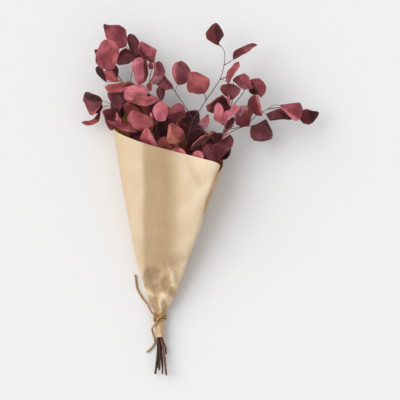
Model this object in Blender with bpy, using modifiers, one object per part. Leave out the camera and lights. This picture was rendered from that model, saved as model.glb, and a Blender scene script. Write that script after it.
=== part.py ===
"""A bunch of preserved, dyed poplar-type leaves, lying on its back: seven woody stems with round
leaves on thin stalks, rolled in a square sheet of brown paper whose back corner stands up behind
the leaves, and tied at the neck with jute twine. The bunch lies along +Y, leaves up, +Z off the
surface that it rests on. Lists of places are in millimetres."""

import math

import bmesh
import bpy
from mathutils import Vector

MM = 0.001
GAP = 0.3  # kept between two pieces that touch on the real bunch
CENTRE = Vector((-2.4, 0.5, 0.0))  # of the bounding box, in the coordinates of the lists below

# The rolled sheet: its outline seen from the front as (y, x), and its height off the surface
LEFT_SIDE = ((-236, -78.8), (-191, -78.8), (-185, -83.5), (-178, -88.5), (-148, -98),
             (-105, -111.5), (-32, -125), (45, -138.5), (120, -150), (160, -159), (215, -168))
RIGHT_SIDE = ((-236, -63.2), (-191, -63.2), (-185, -57), (-178, -50.5), (-151, -38.5),
              (-121, -27), (-60, -4.5), (0, 16), (31, 28), (61, 39), (100, 52), (215, 90))
TOP_HEIGHT = ((-236, 19.6), (-191, 19.6), (-180, 24.5), (-150, 35), (-100, 51), (-30, 68), (60, 80),
              (120, 86), (215, 92))
UNDERSIDE = ((-236, 4.0), (-191, 4.0), (-180, 2.0), (-165, 0.0), (215, 0.0))
PAPER = 0.8  # thicker than the real sheet, so that it is a solid
WRAP_STEP = 1.12  # from one layer to the next over a whole turn
WRAP_FROM, WRAP_SWEEP = 62.0, 414.0  # degrees, from the inner edge clockwise to the outer one
CUT_BOTTOM = -234.0
# The sheet's upper cut, as (degrees swept, y): inner edge, right side, back corner, left fold, front
UPPER_CUT = ((0, 34), (40, 44), (70, 62), (100, 95), (150, 149), (189, 200), (195, 204), (203, 196),
             (222, 176), (240, 160), (252, 140), (262, 121), (284, 104), (310, 93), (340, 81),
             (365, 71), (390, 64), (414, 57))
RIDGE_X, VALLEY_X, FOLD_DEPTH = -98.0, -40.0, 7.0
PAPER_COLUMNS, OPEN_ROWS = 40, 5
LOWER_ROWS = (CUT_BOTTOM, -212, -191, -181, -165, -140, -105, -60)

# The tie: turns of twine about the neck, a strand over them and the knot
NECK = Vector((-71.0, -200.0, 11.8))
NECK_RADIUS = 7.8
TWINE = 3.4
TURNS, TURN_PITCH, TURN_POINTS = 3.2, 4.1, 18
KNOT_ANGLE = 118.0
KNOT_RADIUS = 3.4
UPPER_TAIL = ((-78.5, -196.1, 23), (-82.2, -194.5, 20.5), (-85.7, -190, 15.5), (-88.8, -184, 9.5),
              (-93, -176.5, 5), (-99, -169.5, 2.7), (-105.5, -160, 2.0), (-110, -150, 1.9),
              (-111.5, -140, 1.9), (-113, -129, 1.9))
LOWER_TAIL = ((-77.8, -211.7, 22.6), (-81, -214.8, 19.5), (-84, -219.5, 12), (-83.4, -226, 5),
              (-80.6, -235, 2.2), (-80, -244, 1.9), (-85, -252.5, 1.9), (-92, -259, 1.9))

# Leafy stems. slot: degrees about the neck's middle, or None for the one in the middle. foot: from
# the cut end up to the neck. route: from the mouth of the paper to the stem's tip. Each leaf is
# (base, tip, left edge, right edge, roll in degrees, arch, cup, twist in degrees). An edge is given as
# its distances from the line between base and tip, at each of the LEAF_ROWS after the first.
STEM, TWIG, STALK = 3.4, 1.9, 0.85
SLOT_RADIUS = 3.75
BLADE = 0.92
LEAF_ROWS = (0.0, 0.14, 0.38, 0.64, 0.88, 1.0)
STALK_END = 0.1  # of the way up the blade, where its stalk ends inside it

SPRAYS = {
    "leafy_stem_1": {
        "slot": 240, "foot": ((-74, -288, 4.5), (-73.2, -262, 6.5)),
        "route": ((-112, 60, 22), (-121, 130, 32), (-124, 180, 40), (-117, 222, 44), (-112, 240, 45)),
        "twigs": (((-121, 132, 33), (-131, 152, 47), (-132, 165, 62)),
                  ((-123, 186, 41), (-136, 203, 50), (-147, 217, 60), (-150, 221, 66)),
                  ((-114, 233, 45), (-119, 250, 50), (-127, 261, 57))),
        "leaves": (
            ((-128, 261, 59), (-166, 299, 62), (-14, -17, -14, -6), (10, 20, 18, 4), 0, 0.14, -0.1, 10),
            ((-151, 221, 70), (-164, 272, 78), (-19, -25, -21, -10), (7, 16, 21, 16), 0, 0.08, 0.22, 0),
            ((-162, 232, 48), (-183, 255, 38), (-4, -6, -4, -1), (4, 10, 10, 6), 0, 0.05, 0.1, 0),
            ((-113, 242, 46), (-122, 283, 42), (-3, -6, -7, -6), (9, 13, 13, 8), 0, 0.08, -0.15, 0),
            ((-112, 241, 48), (-146, 234, 50), (-3, -7, -7, -6), (12, 21, 18, 8), 0, 0.08, 0.2, 0),
            ((-161, 200, 40), (-179, 227, 30), (-2, -4, -6, -4), (3, 7, 9, 8), 20, 0.08, 0.1, 0),
            ((-142, 209, 56), (-146, 232, 58), (-4, -7, -9, -5), (3, 3, 3, 1), 40, 0.05, 0.1, 0),
            ((-140, 202, 53), (-166, 219, 50), (-8, -13, -12, -4), (2, 5, 6, 4), -25, 0.1, 0.12, 0),
            ((-110, 193, 58), (-164, 192, 50), (-3, -6, -6, -10), (10, 12, 10, 8), 35, 0.1, 0.1, 10),
            ((-131, 171, 70), (-90, 183, 74), (-21, -20, -18, -15), (4, 8, 8, 7), 10, 0.1, -0.1, 0),
            ((-126, 165, 72), (-73, 171, 84), (-7, -13, -5, -6), (3, 9, 14, 8), 25, 0.08, 0.2, -10),
            ((-146, 206, 30), (-158, 236, 20), (-7, -11, -10, -5), (7, 11, 10, 5), 5, 0.1, 0.1, 0),
            ((-112, 228, 34), (-100, 260, 24), (-8, -12, -11, -5), (8, 12, 11, 5), 5, 0.1, 0.1, 0),
        ),
    },
    "leafy_stem_2": {
        "slot": 180, "foot": ((-79, -298, 9), (-76, -275, 9.5), (-74.5, -255, 10.5)),
        "route": ((-122, 60, 30), (-131, 118, 40), (-139, 145, 44), (-152, 160, 47), (-161, 167, 50)),
        "twigs": (((-133, 124, 41), (-140, 136, 50), (-141, 143, 54)),),
        "leaves": (
            ((-141, 151, 42), (-160, 182, 40), (-1, -4, -4, -3), (19, 25, 26, 24), -10, 0.08, -0.15, 0),
            ((-168, 168, 49), (-202, 168, 36), (-12, -23, -24, -2), (8, 12, 16, 16), 0, 0.12, 0.12, 0),
            ((-173, 153, 40), (-205, 132, 22), (-8, -15, -14, -8), (-1, -3, 1, 2), 40, 0.12, 0.2, 0),
            ((-151, 156, 57), (-153, 118, 57), (-6, -10, -11, -8), (19, 15, 11, 6), 10, 0.1, -0.18, 0),
            ((-126, 128, 66), (-160, 136, 68), (-5, -11, -12, -8), (4, 6, 5, 6), 66, 0.06, 0.1, 0),
            ((-108, 115, 62), (-149, 127, 60), (-5, -10, -11, -6), (1, 5, 4, 1), -50, 0.08, 0.1, 0),
            ((-136, 132, 66), (-143, 149, 70), (-7, -10, -7, -3), (1, 2, 2, 1), 55, 0.05, 0.1, 0),
            ((-116, 103, 50), (-102, 118, 54), (-6, -9, -8, -4), (6, 9, 8, 4), 20, 0.05, 0.1, 0),
            ((-168, 160, 32), (-194, 158, 18), (-8, -12, -11, -5), (8, 12, 11, 5), 5, 0.1, 0.1, 0),
            ((-136, 140, 22), (-146, 166, 24), (-6, -10, -9, -4), (6, 10, 9, 4), 8, 0.1, 0.1, 0),
        ),
    },
    "leafy_stem_3": {
        "slot": 120, "foot": ((-72, -291, 16), (-71, -262, 16)),
        "route": ((-90, 60, 48), (-95, 110, 54), (-98, 150, 55), (-98, 178, 53), (-104, 194, 60)),
        "twigs": (((-98, 168, 54), (-90, 192, 57), (-86, 214, 57), (-80, 235, 58)),),
        "leaves": (
            ((-81, 128, 70), (-126, 141, 62), (-11, -17, -17, -11), (10, 13, 14, 15), 4, 0.1, -0.08, 0),
            ((-99, 148, 50), (-133, 160, 46), (-2, -5, -8, -5), (2, 6, 8, 7), 10, 0.05, 0.1, 0),
            ((-87, 153, 60), (-104, 158, 66), (-5, -6, -5, -1), (3, 3, 2, 1), 20, 0.05, 0.1, 0),
            ((-107, 196, 66), (-104, 243, 72), (-6, -9, -15, -10), (12, 16, 14, 12), -8, 0.1, -0.22, 0),
            ((-81, 233, 58), (-102, 270, 54), (-6, -13, -15, -10), (6, 16, 9, 3), 0, 0.1, 0.2, 0),
            ((-83, 223, 62), (-88, 234, 62), (-7, -7, -6, -3), (3, 5, 5, 3), 40, 0.05, 0.1, 0),
            ((-90, 197, 66), (-80, 236, 76), (0, 10, 8, -3), (7, 18, 23, 14), 76, -0.04, 0.1, 0),
            ((-82, 196, 62), (-72, 236, 64), (-5, -4, -3, -6), (8, 13, 15, 8), -6, 0.12, 0.1, 0),
            ((-87, 185, 60), (-85, 205, 62), (-4, -9, -6, -2), (5, 7, 5, 2), 48, 0.05, 0.1, 0),
            ((-112, 168, 38), (-100, 192, 28), (-8, -13, -11, -6), (8, 13, 11, 6), 5, 0.1, 0.1, 0),
            ((-100, 140, 32), (-122, 170, 18), (-10, -16, -14, -7), (10, 16, 14, 7), 8, 0.1, 0.1, 0),
            ((-98, 98, 44), (-122, 114, 36), (-9, -14, -12, -6), (9, 14, 12, 6), 5, 0.1, 0.1, 0),
            ((-100, 150, 34), (-92, 184, 26), (-9, -14, -12, -6), (9, 14, 12, 6), 5, 0.1, 0.1, 0),
        ),
    },
    "leafy_stem_4": {
        "slot": 60, "foot": ((-60, -300, 15), (-63, -270, 15), (-66, -250, 15)),
        "route": ((-34, 60, 50), (-24, 105, 58), (-17, 128, 62), (-13.5, 137, 64), (-5, 150, 66),
                  (7, 168, 68), (20, 187, 69), (32, 206, 70), (38, 228, 70), (39.5, 248, 70),
                  (35, 259, 71), (31, 263, 71)),
        "twigs": (((-14, 136, 64), (-20, 146, 65), (-34, 168, 62), (-49, 189, 59), (-68, 206, 55)),
                  ((39, 229, 70), (47, 234, 71), (54, 238, 72)),
                  ((31, 204, 70), (40, 208, 68), (46, 210, 68))),
        "leaves": (
            ((-26, 142, 68), (-59, 143, 66), (-3, -9, -11, -5), (18, 23, 20, 11), -6, 0.08, -0.25, 0),
            ((-48, 189, 61), (-78, 198, 56), (-2, -7, -3, -2), (8, 14, 20, 5), 10, 0.08, 0.1, 0),
            ((-40, 195, 68), (-34, 236, 70), (-6, -12, -14, -11), (14, 19, 19, 10), 4, 0.1, -0.16, 0),
            ((5, 180, 80), (-20, 216, 84), (-7, -21, -19, -8), (15, 21, 16, 10), -4, 0.08, 0.08, 0),
            ((31, 262, 70), (24, 301, 64), (-10, -20, -20, -10), (0, 11, 9, 5), 6, 0.08, -0.22, 0),
            ((54, 238, 72), (95, 263, 70), (-11, -15, -10, -8), (4, 9, 10, 4), 50, 0.08, 0.15, 10),
            ((45, 198, 70), (63, 235, 72), (-14, -13, -8, -7), (6, 8, 11, 12), 58, 0.06, 0.1, 0),
            ((-23, 100, 44), (-13, 133, 42), (-7, -15, -18, -9), (9, 15, 20, 20), 0, 0.08, -0.1, 0),
            ((-23, 125, 50), (-43, 132, 46), (-1, -2, -4, -4), (2, 4, 4, 2), 10, 0.05, 0.1, 0),
            ((-18, 86, 60), (14, 107, 68), (-4, -8, -9, -7), (6, 7, 6, 3), 40, 0.05, 0.1, 0),
            ((5, 120, 58), (11, 146, 58), (-4, -12, -7, -2), (4, 8, 7, 3), 25, 0.05, 0.1, 0),
            ((4, 182, 52), (-18, 206, 42), (-9, -14, -12, -6), (9, 14, 12, 6), 5, 0.1, 0.1, 0),
            ((-24, 100, 38), (4, 118, 34), (-10, -16, -14, -7), (10, 16, 14, 7), 5, 0.1, 0.1, 0),
            ((-30, 120, 42), (-6, 152, 34), (-11, -17, -15, -7), (11, 17, 15, 7), 5, 0.1, 0.1, 0),
            ((-24, 72, 32), (-2, 98, 26), (-11, -17, -15, -7), (11, 17, 15, 7), 5, 0.1, 0.1, 0),
        ),
    },
    "leafy_stem_5": {
        "slot": None, "foot": ((-66.5, -298, 11), (-67, -270, 11.3)),
        "route": ((-62, 20, 40), (-70, 70, 50), (-75, 107, 58), (-77, 134, 66), (-73, 158, 66), (-71, 170, 60)),
        "twigs": (),
        "leaves": (
            ((-75, 134, 88), (-65, 167, 92), (-6, -12, -12, -8), (14, 14, 14, 10), 6, 0.12, 0.1, 0),
            ((-27, 103, 72), (-55, 129, 80), (-15, -24, -23, -8), (5, 8, 9, 6), -8, 0.1, -0.12, 0),
            ((-87, 82, 58), (-92, 123, 80), (-7, -14, -15, -7), (16, 13, 8, 4), 4, 0.04, 0.35, 0),
            ((-59, 76, 56), (-63, 108, 66), (-5, -12, -15, -10), (9, 11, 7, 3), 0, 0.06, 0.1, 0),
            ((-37, 64, 58), (-37, 89, 67), (-4, -10, -15, -15), (4, 10, 12, 7), 4, 0.06, 0.12, 0),
            ((-69, 168, 56), (-71, 195, 42), (-3, -6, -7, -6), (5, 8, 8, 5), 10, 0.05, -0.2, 0),
            ((-82, 137, 80), (-85, 149, 84), (-1, -4, -4, -3), (1, 2, 2, 1), 60, 0.05, 0.1, 0),
            ((-70, 120, 40), (-44, 152, 28), (-12, -18, -16, -8), (12, 18, 16, 8), 6, 0.1, 0.1, 0),
            ((-72, 135, 42), (-84, 170, 36), (-10, -16, -14, -7), (10, 16, 14, 7), -6, 0.1, 0.1, 0),
            ((-53, 85, 54), (-39, 93, 60), (-3, -5, -5, -4), (1, 3, 4, 4), 10, 0.05, 0.1, 0),
            ((-62, 82, 42), (-88, 106, 38), (-10, -16, -14, -7), (10, 16, 14, 7), 5, 0.1, 0.1, 0),
            ((-58, 66, 46), (-34, 88, 44), (-10, -15, -13, -6), (10, 15, 13, 6), 5, 0.1, 0.1, 0),
            ((-68, 100, 32), (-62, 136, 24), (-12, -19, -17, -8), (12, 19, 17, 8), 5, 0.1, 0.1, 0),
            ((-54, 98, 32), (-28, 126, 26), (-11, -17, -15, -7), (11, 17, 15, 7), 5, 0.1, 0.1, 0),
        ),
    },
    "leafy_stem_6": {
        "slot": 300, "foot": ((-67, -284, 4.5), (-68.4, -262, 6.5)),
        "route": ((8, 40, 24), (28, 95, 34), (44, 135, 42), (52, 165, 50), (54, 190, 60), (54, 204, 72)),
        "twigs": (((50, 156, 48), (66, 176, 54), (80, 196, 60), (84, 203, 62)),
                  ((38, 118, 39), (66, 124, 36), (96, 128, 28))),
        "leaves": (
            ((53, 204, 76), (88, 190, 78), (-9, -18, -15, -2), (3, 8, 10, 4), 6, 0.1, -0.2, 0),
            ((83, 204, 62), (101, 174, 58), (-14, -17, -17, -12), (2, 3, 3, 2), 10, 0.1, 0.12, 0),
            ((45, 152, 58), (8, 160, 58), (-6, -9, -10, -9), (19, 25, 17, 5), 6, 0.1, 0.1, 0),
            ((48, 169, 62), (47, 198, 62), (-3, -12, -17, -15), (9, 16, 19, 11), -6, 0.08, 0.22, 0),
            ((50, 157, 66), (47, 178, 72), (-4, -9, -8, -4), (2, 4, 4, 2), 66, 0.05, 0.1, 0),
            ((62, 138, 44), (88, 154, 36), (-7, -11, -10, -5), (7, 11, 10, 5), 5, 0.1, 0.1, 0),
            ((92, 124, 28), (116, 108, 14), (-10, -15, -13, -6), (10, 15, 13, 6), 5, 0.1, 0.1, 0),
            ((84, 200, 46), (98, 180, 36), (-8, -12, -11, -5), (8, 12, 11, 5), 5, 0.1, 0.1, 0),
            ((48, 150, 36), (26, 168, 28), (-9, -14, -12, -6), (9, 14, 12, 6), 5, 0.1, 0.1, 0),
            ((22, 84, 26), (22, 114, 18), (-9, -14, -12, -6), (9, 14, 12, 6), 5, 0.1, 0.1, 0),
        ),
    },
    "leafy_stem_7": {
        "slot": 0, "foot": ((-60, -264, 10.5), (-62, -250, 11.5)),
        "route": ((14, 60, 44), (34, 100, 60), (46, 113, 66), (75, 127, 70), (93, 143, 70),
                  (112, 154, 66), (123, 161, 62), (131, 161, 60)),
        "twigs": (((112, 154, 66), (140, 158, 52), (160, 152, 46), (167, 147, 44)),),
        "leaves": (
            ((133, 161, 62), (169, 140, 56), (-5, -13, -21, -16), (4, 7, 10, 11), 8, 0.1, 0.18, 0),
            ((164, 144, 44), (200, 149, 34), (-8, -10, -5, -3), (14, 18, 15, 7), -6, 0.14, 0.1, 0),
            ((110, 146, 58), (147, 143, 50), (-3, -7, -11, -5), (14, 11, 10, 8), 20, 0.08, 0.1, 0),
            ((84, 124, 58), (120, 105, 42), (-9, -24, -18, -11), (16, 18, 14, 6), 6, 0.12, -0.1, 0),
            ((104, 143, 76), (89, 179, 80), (-11, -14, -18, -12), (1, 3, 5, 5), 10, 0.1, 0.1, 0),
            ((80, 126, 78), (60, 157, 80), (-13, -17, -13, -7), (8, 15, 19, 14), 6, 0.1, -0.1, 0),
            ((40, 127, 84), (66, 157, 90), (-7, -15, -9, -15), (0, -1, 3, 6), 30, 0.1, 0.15, 10),
            ((39, 126, 82), (28, 165, 84), (-7, -17, -12, -8), (2, 3, 5, 4), -15, 0.1, -0.1, 0),
            ((35, 102, 70), (55, 127, 76), (-7, -11, -7, -2), (1, 2, 2, 1), 58, 0.06, 0.1, 0),
            ((33, 100, 62), (14, 116, 70), (-2, -5, -6, -3), (7, 14, 7, 6), 20, 0.08, 0.2, 0),
            ((-6, 54, 56), (-5, 84, 66), (-4, -9, -11, -9), (4, 9, 10, 7), 10, 0.06, 0.1, 0),
            ((20, 54, 46), (9, 96, 56), (-3, -9, -12, -10), (10, 16, 15, 9), -10, 0.06, -0.14, 0),
            ((28, 66, 52), (49, 111, 54), (-7, -21, -11, -4), (3, 8, 13, 10), 8, 0.06, 0.12, 0),
            ((134, 154, 42), (162, 142, 32), (-8, -13, -11, -6), (8, 13, 11, 6), 5, 0.1, 0.1, 0),
            ((40, 120, 66), (55, 141, 70), (-2, -4, -4, -3), (3, 6, 8, 5), 20, 0.05, -0.1, 0),
            ((103, 148, 80), (95, 178, 84), (0, -2, -5, -3), (0, 1, 1, 1), 30, 0.02, 0.1, 0),
            ((24, 74, 42), (50, 92, 38), (-10, -15, -13, -6), (10, 15, 13, 6), 5, 0.1, 0.1, 0),
            ((0, 62, 40), (22, 82, 36), (-9, -14, -12, -6), (9, 14, 12, 6), 5, 0.1, 0.1, 0),
        ),
    },
}

COLOURS = {
    "kraft_paper": ((0.62, 0.42, 0.22), 0.75),
    "jute_twine": ((0.40, 0.24, 0.10), 0.9),
    "dyed_leaf": ((0.30, 0.07, 0.08), 0.5),
}


def clear_scene():
    for item in list(bpy.data.objects):
        bpy.data.objects.remove(item, do_unlink=True)


def material(name):
    """A plain material in one of the bunch's colours."""
    found = bpy.data.materials.get(name)
    if found:
        return found
    colour, roughness = COLOURS[name]
    made = bpy.data.materials.new(name)
    made.use_nodes = True
    shader = made.node_tree.nodes["Principled BSDF"]
    shader.inputs["Base Color"].default_value = (*colour, 1.0)
    shader.inputs["Roughness"].default_value = roughness
    shader.inputs["Metallic"].default_value = 0.0
    return made


def between(table, at):
    """The second number of a table at this first number, on a straight line between its rows."""
    if at <= table[0][0]:
        return table[0][1]
    for (low, start), (high, end) in zip(table, table[1:]):
        if at <= high:
            return start + (end - start) * (at - low) / (high - low)
    return table[-1][1]


def smooth_route(points, step):
    """Points about a step apart on a smooth curve through the given ones."""
    points = [Vector(p) for p in points]
    ends = [2 * points[0] - points[1], *points, 2 * points[-1] - points[-2]]
    route = []
    for before, start, end, after in zip(ends, ends[1:], ends[2:], ends[3:]):
        count = max(1, round((end - start).length / step))
        for i in range(count):
            t = i / count
            route.append(0.5 * (2 * start + (end - before) * t
                                + (2 * before - 5 * start + 4 * end - after) * t ** 2
                                + (3 * start - before - 3 * end + after) * t ** 3))
    return [*route, points[-1]]


def add_object(name, mesh, home, colour):
    made = bpy.data.objects.new(name, mesh)
    home.objects.link(made)
    made.data.materials.append(material(colour))
    return made


def tube(name, points, width, home, colour, sides=0, ends=(1.0, 1.0)):
    """A round bar along the points, as a mesh with its caps welded. ends: thickness at each end."""
    curve = bpy.data.curves.new(name, "CURVE")
    curve.dimensions = "3D"
    curve.bevel_depth = width / 2 * MM
    curve.bevel_resolution = sides
    curve.use_fill_caps = True
    spline = curve.splines.new("POLY")
    spline.points.add(len(points) - 1)
    for i, (place, point) in enumerate(zip(points, spline.points)):
        point.co = (*((Vector(place) - CENTRE) * MM), 1.0)
        point.radius = ends[0] + (ends[1] - ends[0]) * i / (len(points) - 1)
    guide = bpy.data.objects.new(name, curve)
    home.objects.link(guide)
    bpy.context.view_layer.update()
    graph = bpy.context.evaluated_depsgraph_get()
    mesh = bpy.data.meshes.new_from_object(guide.evaluated_get(graph))
    bpy.data.objects.remove(guide)
    edited = bmesh.new()
    edited.from_mesh(mesh)
    bmesh.ops.remove_doubles(edited, verts=edited.verts, dist=1e-6)
    bmesh.ops.recalc_face_normals(edited, faces=edited.faces)
    edited.to_mesh(mesh)
    edited.free()
    mesh.materials.clear()
    return add_object(name, mesh, home, colour)


def apply_modifiers(target):
    graph = bpy.context.evaluated_depsgraph_get()
    mesh = bpy.data.meshes.new_from_object(target.evaluated_get(graph))
    target.modifiers.clear()
    target.data = mesh


def join_repeats(target, repeats):
    """Fuses a collection's objects into the target with one Boolean, then removes them."""
    union = target.modifiers.new("join", "BOOLEAN")
    union.operation = "UNION"
    union.operand_type = "COLLECTION"
    union.collection = repeats
    union.solver = "EXACT"
    bpy.context.view_layer.update()
    apply_modifiers(target)
    for item in list(repeats.objects):
        bpy.data.objects.remove(item, do_unlink=True)
    bpy.data.collections.remove(repeats)


def new_repeats(name):
    repeats = bpy.data.collections.new(name + "_repeats")
    bpy.context.scene.collection.children.link(repeats)
    repeats.hide_render = True
    return repeats


def section_point(y, degrees, inward):
    """A point of the rolled sheet's outer face at this y, degrees from +X towards +Z."""
    left, right = between(LEFT_SIDE, y), between(RIGHT_SIDE, y)
    low, high = between(UNDERSIDE, y), between(TOP_HEIGHT, y)
    open_part = min(1.0, max(0.0, (y + 190) / 60))
    half, turn = (right - left) / 2 - inward, math.radians(degrees)
    x = (left + right) / 2 + half * math.cos(turn)
    sunk = 0.16 * open_part
    rise = (1 + math.sin(turn)) / 2 * (1 + sunk) - sunk
    z = low + (high - low) * rise - inward * math.sin(turn)
    if math.sin(turn) > 0:
        ridge = math.exp(-((x - RIDGE_X) / 26) ** 2) - math.exp(-((x - VALLEY_X) / 24) ** 2)
        z += FOLD_DEPTH * open_part * ridge * math.sin(turn)
    return Vector((x, y, max(low, z)))


def make_wrapper(home):
    """The sheet as a grid over its turn and its length, rolled by section_point, with thickness."""
    mesh = bpy.data.meshes.new("paper_wrapper")
    sheet = bmesh.new()
    rows = len(LOWER_ROWS) - 1 + OPEN_ROWS
    bmesh.ops.create_grid(sheet, x_segments=PAPER_COLUMNS, y_segments=rows, size=0.5)
    for vertex in sheet.verts:
        across, row = vertex.co.x + 0.5, round((vertex.co.y + 0.5) * rows)
        swept = across * WRAP_SWEEP
        inward = WRAP_STEP * (1 - across) * WRAP_SWEEP / 360
        if row < len(LOWER_ROWS):
            y = LOWER_ROWS[row]
        else:
            share = (row - len(LOWER_ROWS) + 1) / OPEN_ROWS
            y = LOWER_ROWS[-1] + (between(UPPER_CUT, swept) - LOWER_ROWS[-1]) * share
        vertex.co = (section_point(y, WRAP_FROM - swept, inward) - CENTRE) * MM
    bmesh.ops.triangulate(sheet, faces=sheet.faces)
    sheet.to_mesh(mesh)
    sheet.free()
    wrapper = add_object("paper_wrapper", mesh, home, "kraft_paper")
    thickness = wrapper.modifiers.new("paper", "SOLIDIFY")
    thickness.thickness = PAPER * MM
    thickness.offset = -1.0
    thickness.use_even_offset = False


def about_neck(degrees, radius, y):
    turn = math.radians(degrees)
    return NECK + Vector((radius * math.cos(turn), y, radius * math.sin(turn)))


def make_tie(home):
    """Turns of twine round the neck, one strand slanting over them, and the knot."""
    lay = (NECK_RADIUS + GAP + TWINE / 2) / math.cos(math.pi / TURN_POINTS)
    count = int(TURNS * TURN_POINTS)
    span = TURNS * TURN_PITCH
    turns = [about_neck(200 + 360 * TURNS * i / count, lay, span / 2 - span * i / count)
             for i in range(count + 1)]
    tie = tube("twine_tie", turns, TWINE, home, "jute_twine", sides=1)
    repeats = new_repeats("twine_tie")
    over = lay + TWINE * 0.72
    strand = [about_neck(140 - 100 * i / 8, over - 1.2 * (abs(i - 4) / 4) ** 2, -7.5 + 15 * i / 8)
              for i in range(9)]
    tube("strand", strand, TWINE, repeats, "jute_twine", sides=1)
    middle = about_neck(KNOT_ANGLE, lay + TWINE * 0.9, -4)
    out = (middle - NECK).normalized()
    side = Vector((0, 1, 0))
    across = side.cross(out)
    loop = []
    for i in range(19):
        turn = 2 * math.pi * i / 20
        radius = KNOT_RADIUS * (1 + 0.45 * math.cos(3 * turn / 2) ** 2)
        loop.append(middle + across * radius * math.cos(turn) + side * radius * math.sin(turn)
                    + out * 1.2 * math.sin(3 * turn))
    tube("knot", loop, TWINE, repeats, "jute_twine", sides=1)
    tube("knot_core", [middle - across * 4, middle - out * 2, middle + across * 4], TWINE * 1.2,
         repeats, "jute_twine", sides=2)
    join_repeats(tie, repeats)


def blade_point(leaf, across, t):
    """The middle of a blade's thickness, across from -1 to 1 and t from its base to its tip."""
    base, tip, left, right, roll, arch, cup, twist = leaf
    base, tip = Vector(base), Vector(tip)
    length = (tip - base).length
    along = (tip - base) / length
    up = (Vector((0, 0, 1)) - along * along.z).normalized()
    side = along.cross(up)
    turn = math.radians(roll + twist * (t - 0.5))
    side, up = side * math.cos(turn) + up * math.sin(turn), up * math.cos(turn) - side * math.sin(turn)
    low, high = (between(tuple(zip(LEAF_ROWS, (0, *edge, 0))), t) for edge in (left, right))
    reach = (high - low) / 2
    return (base + along * length * t + side * ((low + high) / 2 + across * reach)
            + up * (length * arch * (1 - (2 * t - 1) ** 2) + cup * abs(across) * reach))


def make_blade(leaf, home):
    """A grid drawn out to the leaf's outline, split into triangles and thickened both ways."""
    mesh = bpy.data.meshes.new("blade")
    blade = bmesh.new()
    rows = len(LEAF_ROWS) - 1
    bmesh.ops.create_grid(blade, x_segments=2, y_segments=rows, size=0.5)
    for vertex in blade.verts:
        row = round((vertex.co.y + 0.5) * rows)
        place = blade_point(leaf, 2 * vertex.co.x, LEAF_ROWS[row])
        vertex.co = (place - CENTRE) * MM
    bmesh.ops.remove_doubles(blade, verts=blade.verts, dist=1e-5)
    bmesh.ops.triangulate(blade, faces=blade.faces)
    blade.to_mesh(mesh)
    blade.free()
    made = add_object("blade", mesh, home, "dyed_leaf")
    thickness = made.modifiers.new("blade", "SOLIDIFY")
    thickness.thickness = BLADE * MM
    thickness.offset = 0.0
    apply_modifiers(made)
    return made


def stalk_route(leaf, lines):
    """From the nearest stem or twig, a little back towards its root, to inside the blade."""
    base = blade_point(leaf, 0, 0)
    near = min(((point - base).length, line, i) for line, points in enumerate(lines)
               for i, point in enumerate(points))
    distance, points, index = near[0], lines[near[1]], near[2]
    back = 0.0
    while index > 0 and back < 0.6 * distance:
        back += (points[index] - points[index - 1]).length
        index -= 1
    root = points[index]
    ahead = (points[min(index + 1, len(points) - 1)] - points[max(index - 1, 0)]).normalized()
    bend = root + ahead * 0.45 * (base - root).length
    curve = [(1 - t) ** 2 * root + 2 * t * (1 - t) * bend + t ** 2 * base for t in (0.0, 0.5, 1.0)]
    if distance < 2:
        curve = [root, base]
    return [*curve, blade_point(leaf, 0, STALK_END)]


def stem_route(spray):
    slot = spray["slot"]
    at = NECK if slot is None else about_neck(slot, SLOT_RADIUS, 0)
    in_neck = [(at.x, y, at.z) for y in (-236, -215, -188)]
    return smooth_route([*spray["foot"], *in_neck, *spray["route"]], 30)


def make_spray(name, spray, home):
    """One leafy stem: the stem, its twigs, and each leaf on its stalk, fused."""
    route = stem_route(spray)
    stem = tube(name, route, STEM, home, "dyed_leaf", sides=1, ends=(1.0, 0.6))
    repeats = new_repeats(name)
    lines = [smooth_route(spray["route"], 5)]
    for twig in spray["twigs"]:
        tube("twig", smooth_route(twig, 12), TWIG, repeats, "dyed_leaf", ends=(1.0, 0.8))
        lines.append(smooth_route(twig, 5))
    for leaf in spray["leaves"]:
        tube("stalk", stalk_route(leaf, lines), STALK, repeats, "dyed_leaf")
        make_blade(leaf, repeats)
    join_repeats(stem, repeats)


def main():
    clear_scene()
    home = bpy.data.collections.new("bunch_of_preserved_poplar_leaves")
    bpy.context.scene.collection.children.link(home)
    make_wrapper(home)
    make_tie(home)
    for name, points in (("twine_tail_upper", UPPER_TAIL), ("twine_tail_lower", LOWER_TAIL)):
        tube(name, smooth_route(points, 8), TWINE, home, "jute_twine", sides=2)
    for name, spray in SPRAYS.items():
        make_spray(name, spray, home)


if __name__ == "__main__":
    main()
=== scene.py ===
import math
import random

import bpy
from mathutils import Matrix, Vector, noise


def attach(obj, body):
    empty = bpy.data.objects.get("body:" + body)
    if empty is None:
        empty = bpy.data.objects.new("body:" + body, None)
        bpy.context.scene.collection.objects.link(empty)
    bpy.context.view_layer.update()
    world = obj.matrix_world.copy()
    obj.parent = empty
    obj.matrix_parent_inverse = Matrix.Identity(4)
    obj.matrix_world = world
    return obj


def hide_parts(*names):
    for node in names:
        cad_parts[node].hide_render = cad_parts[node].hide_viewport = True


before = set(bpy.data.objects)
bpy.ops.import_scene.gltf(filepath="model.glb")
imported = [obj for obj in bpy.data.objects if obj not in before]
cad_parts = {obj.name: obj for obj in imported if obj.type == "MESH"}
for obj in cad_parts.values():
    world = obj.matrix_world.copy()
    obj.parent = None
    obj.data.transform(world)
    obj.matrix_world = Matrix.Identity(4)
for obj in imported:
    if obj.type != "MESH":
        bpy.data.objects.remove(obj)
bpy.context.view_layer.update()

# The bunch lies on its back and is seen from straight above through a long lens, with its stems to
# the picture's foot. Places below are in millimetres, from a point by the bunch's middle.
MM = 0.001
MIDDLE = Vector((-2.4, 0.5, 0))
PICTURE_WIDTH = 0.68
CAMERA_HEIGHT = 10.0
FILM_WIDTH = 36.0
AIM_HEIGHT = 0.05


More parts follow.
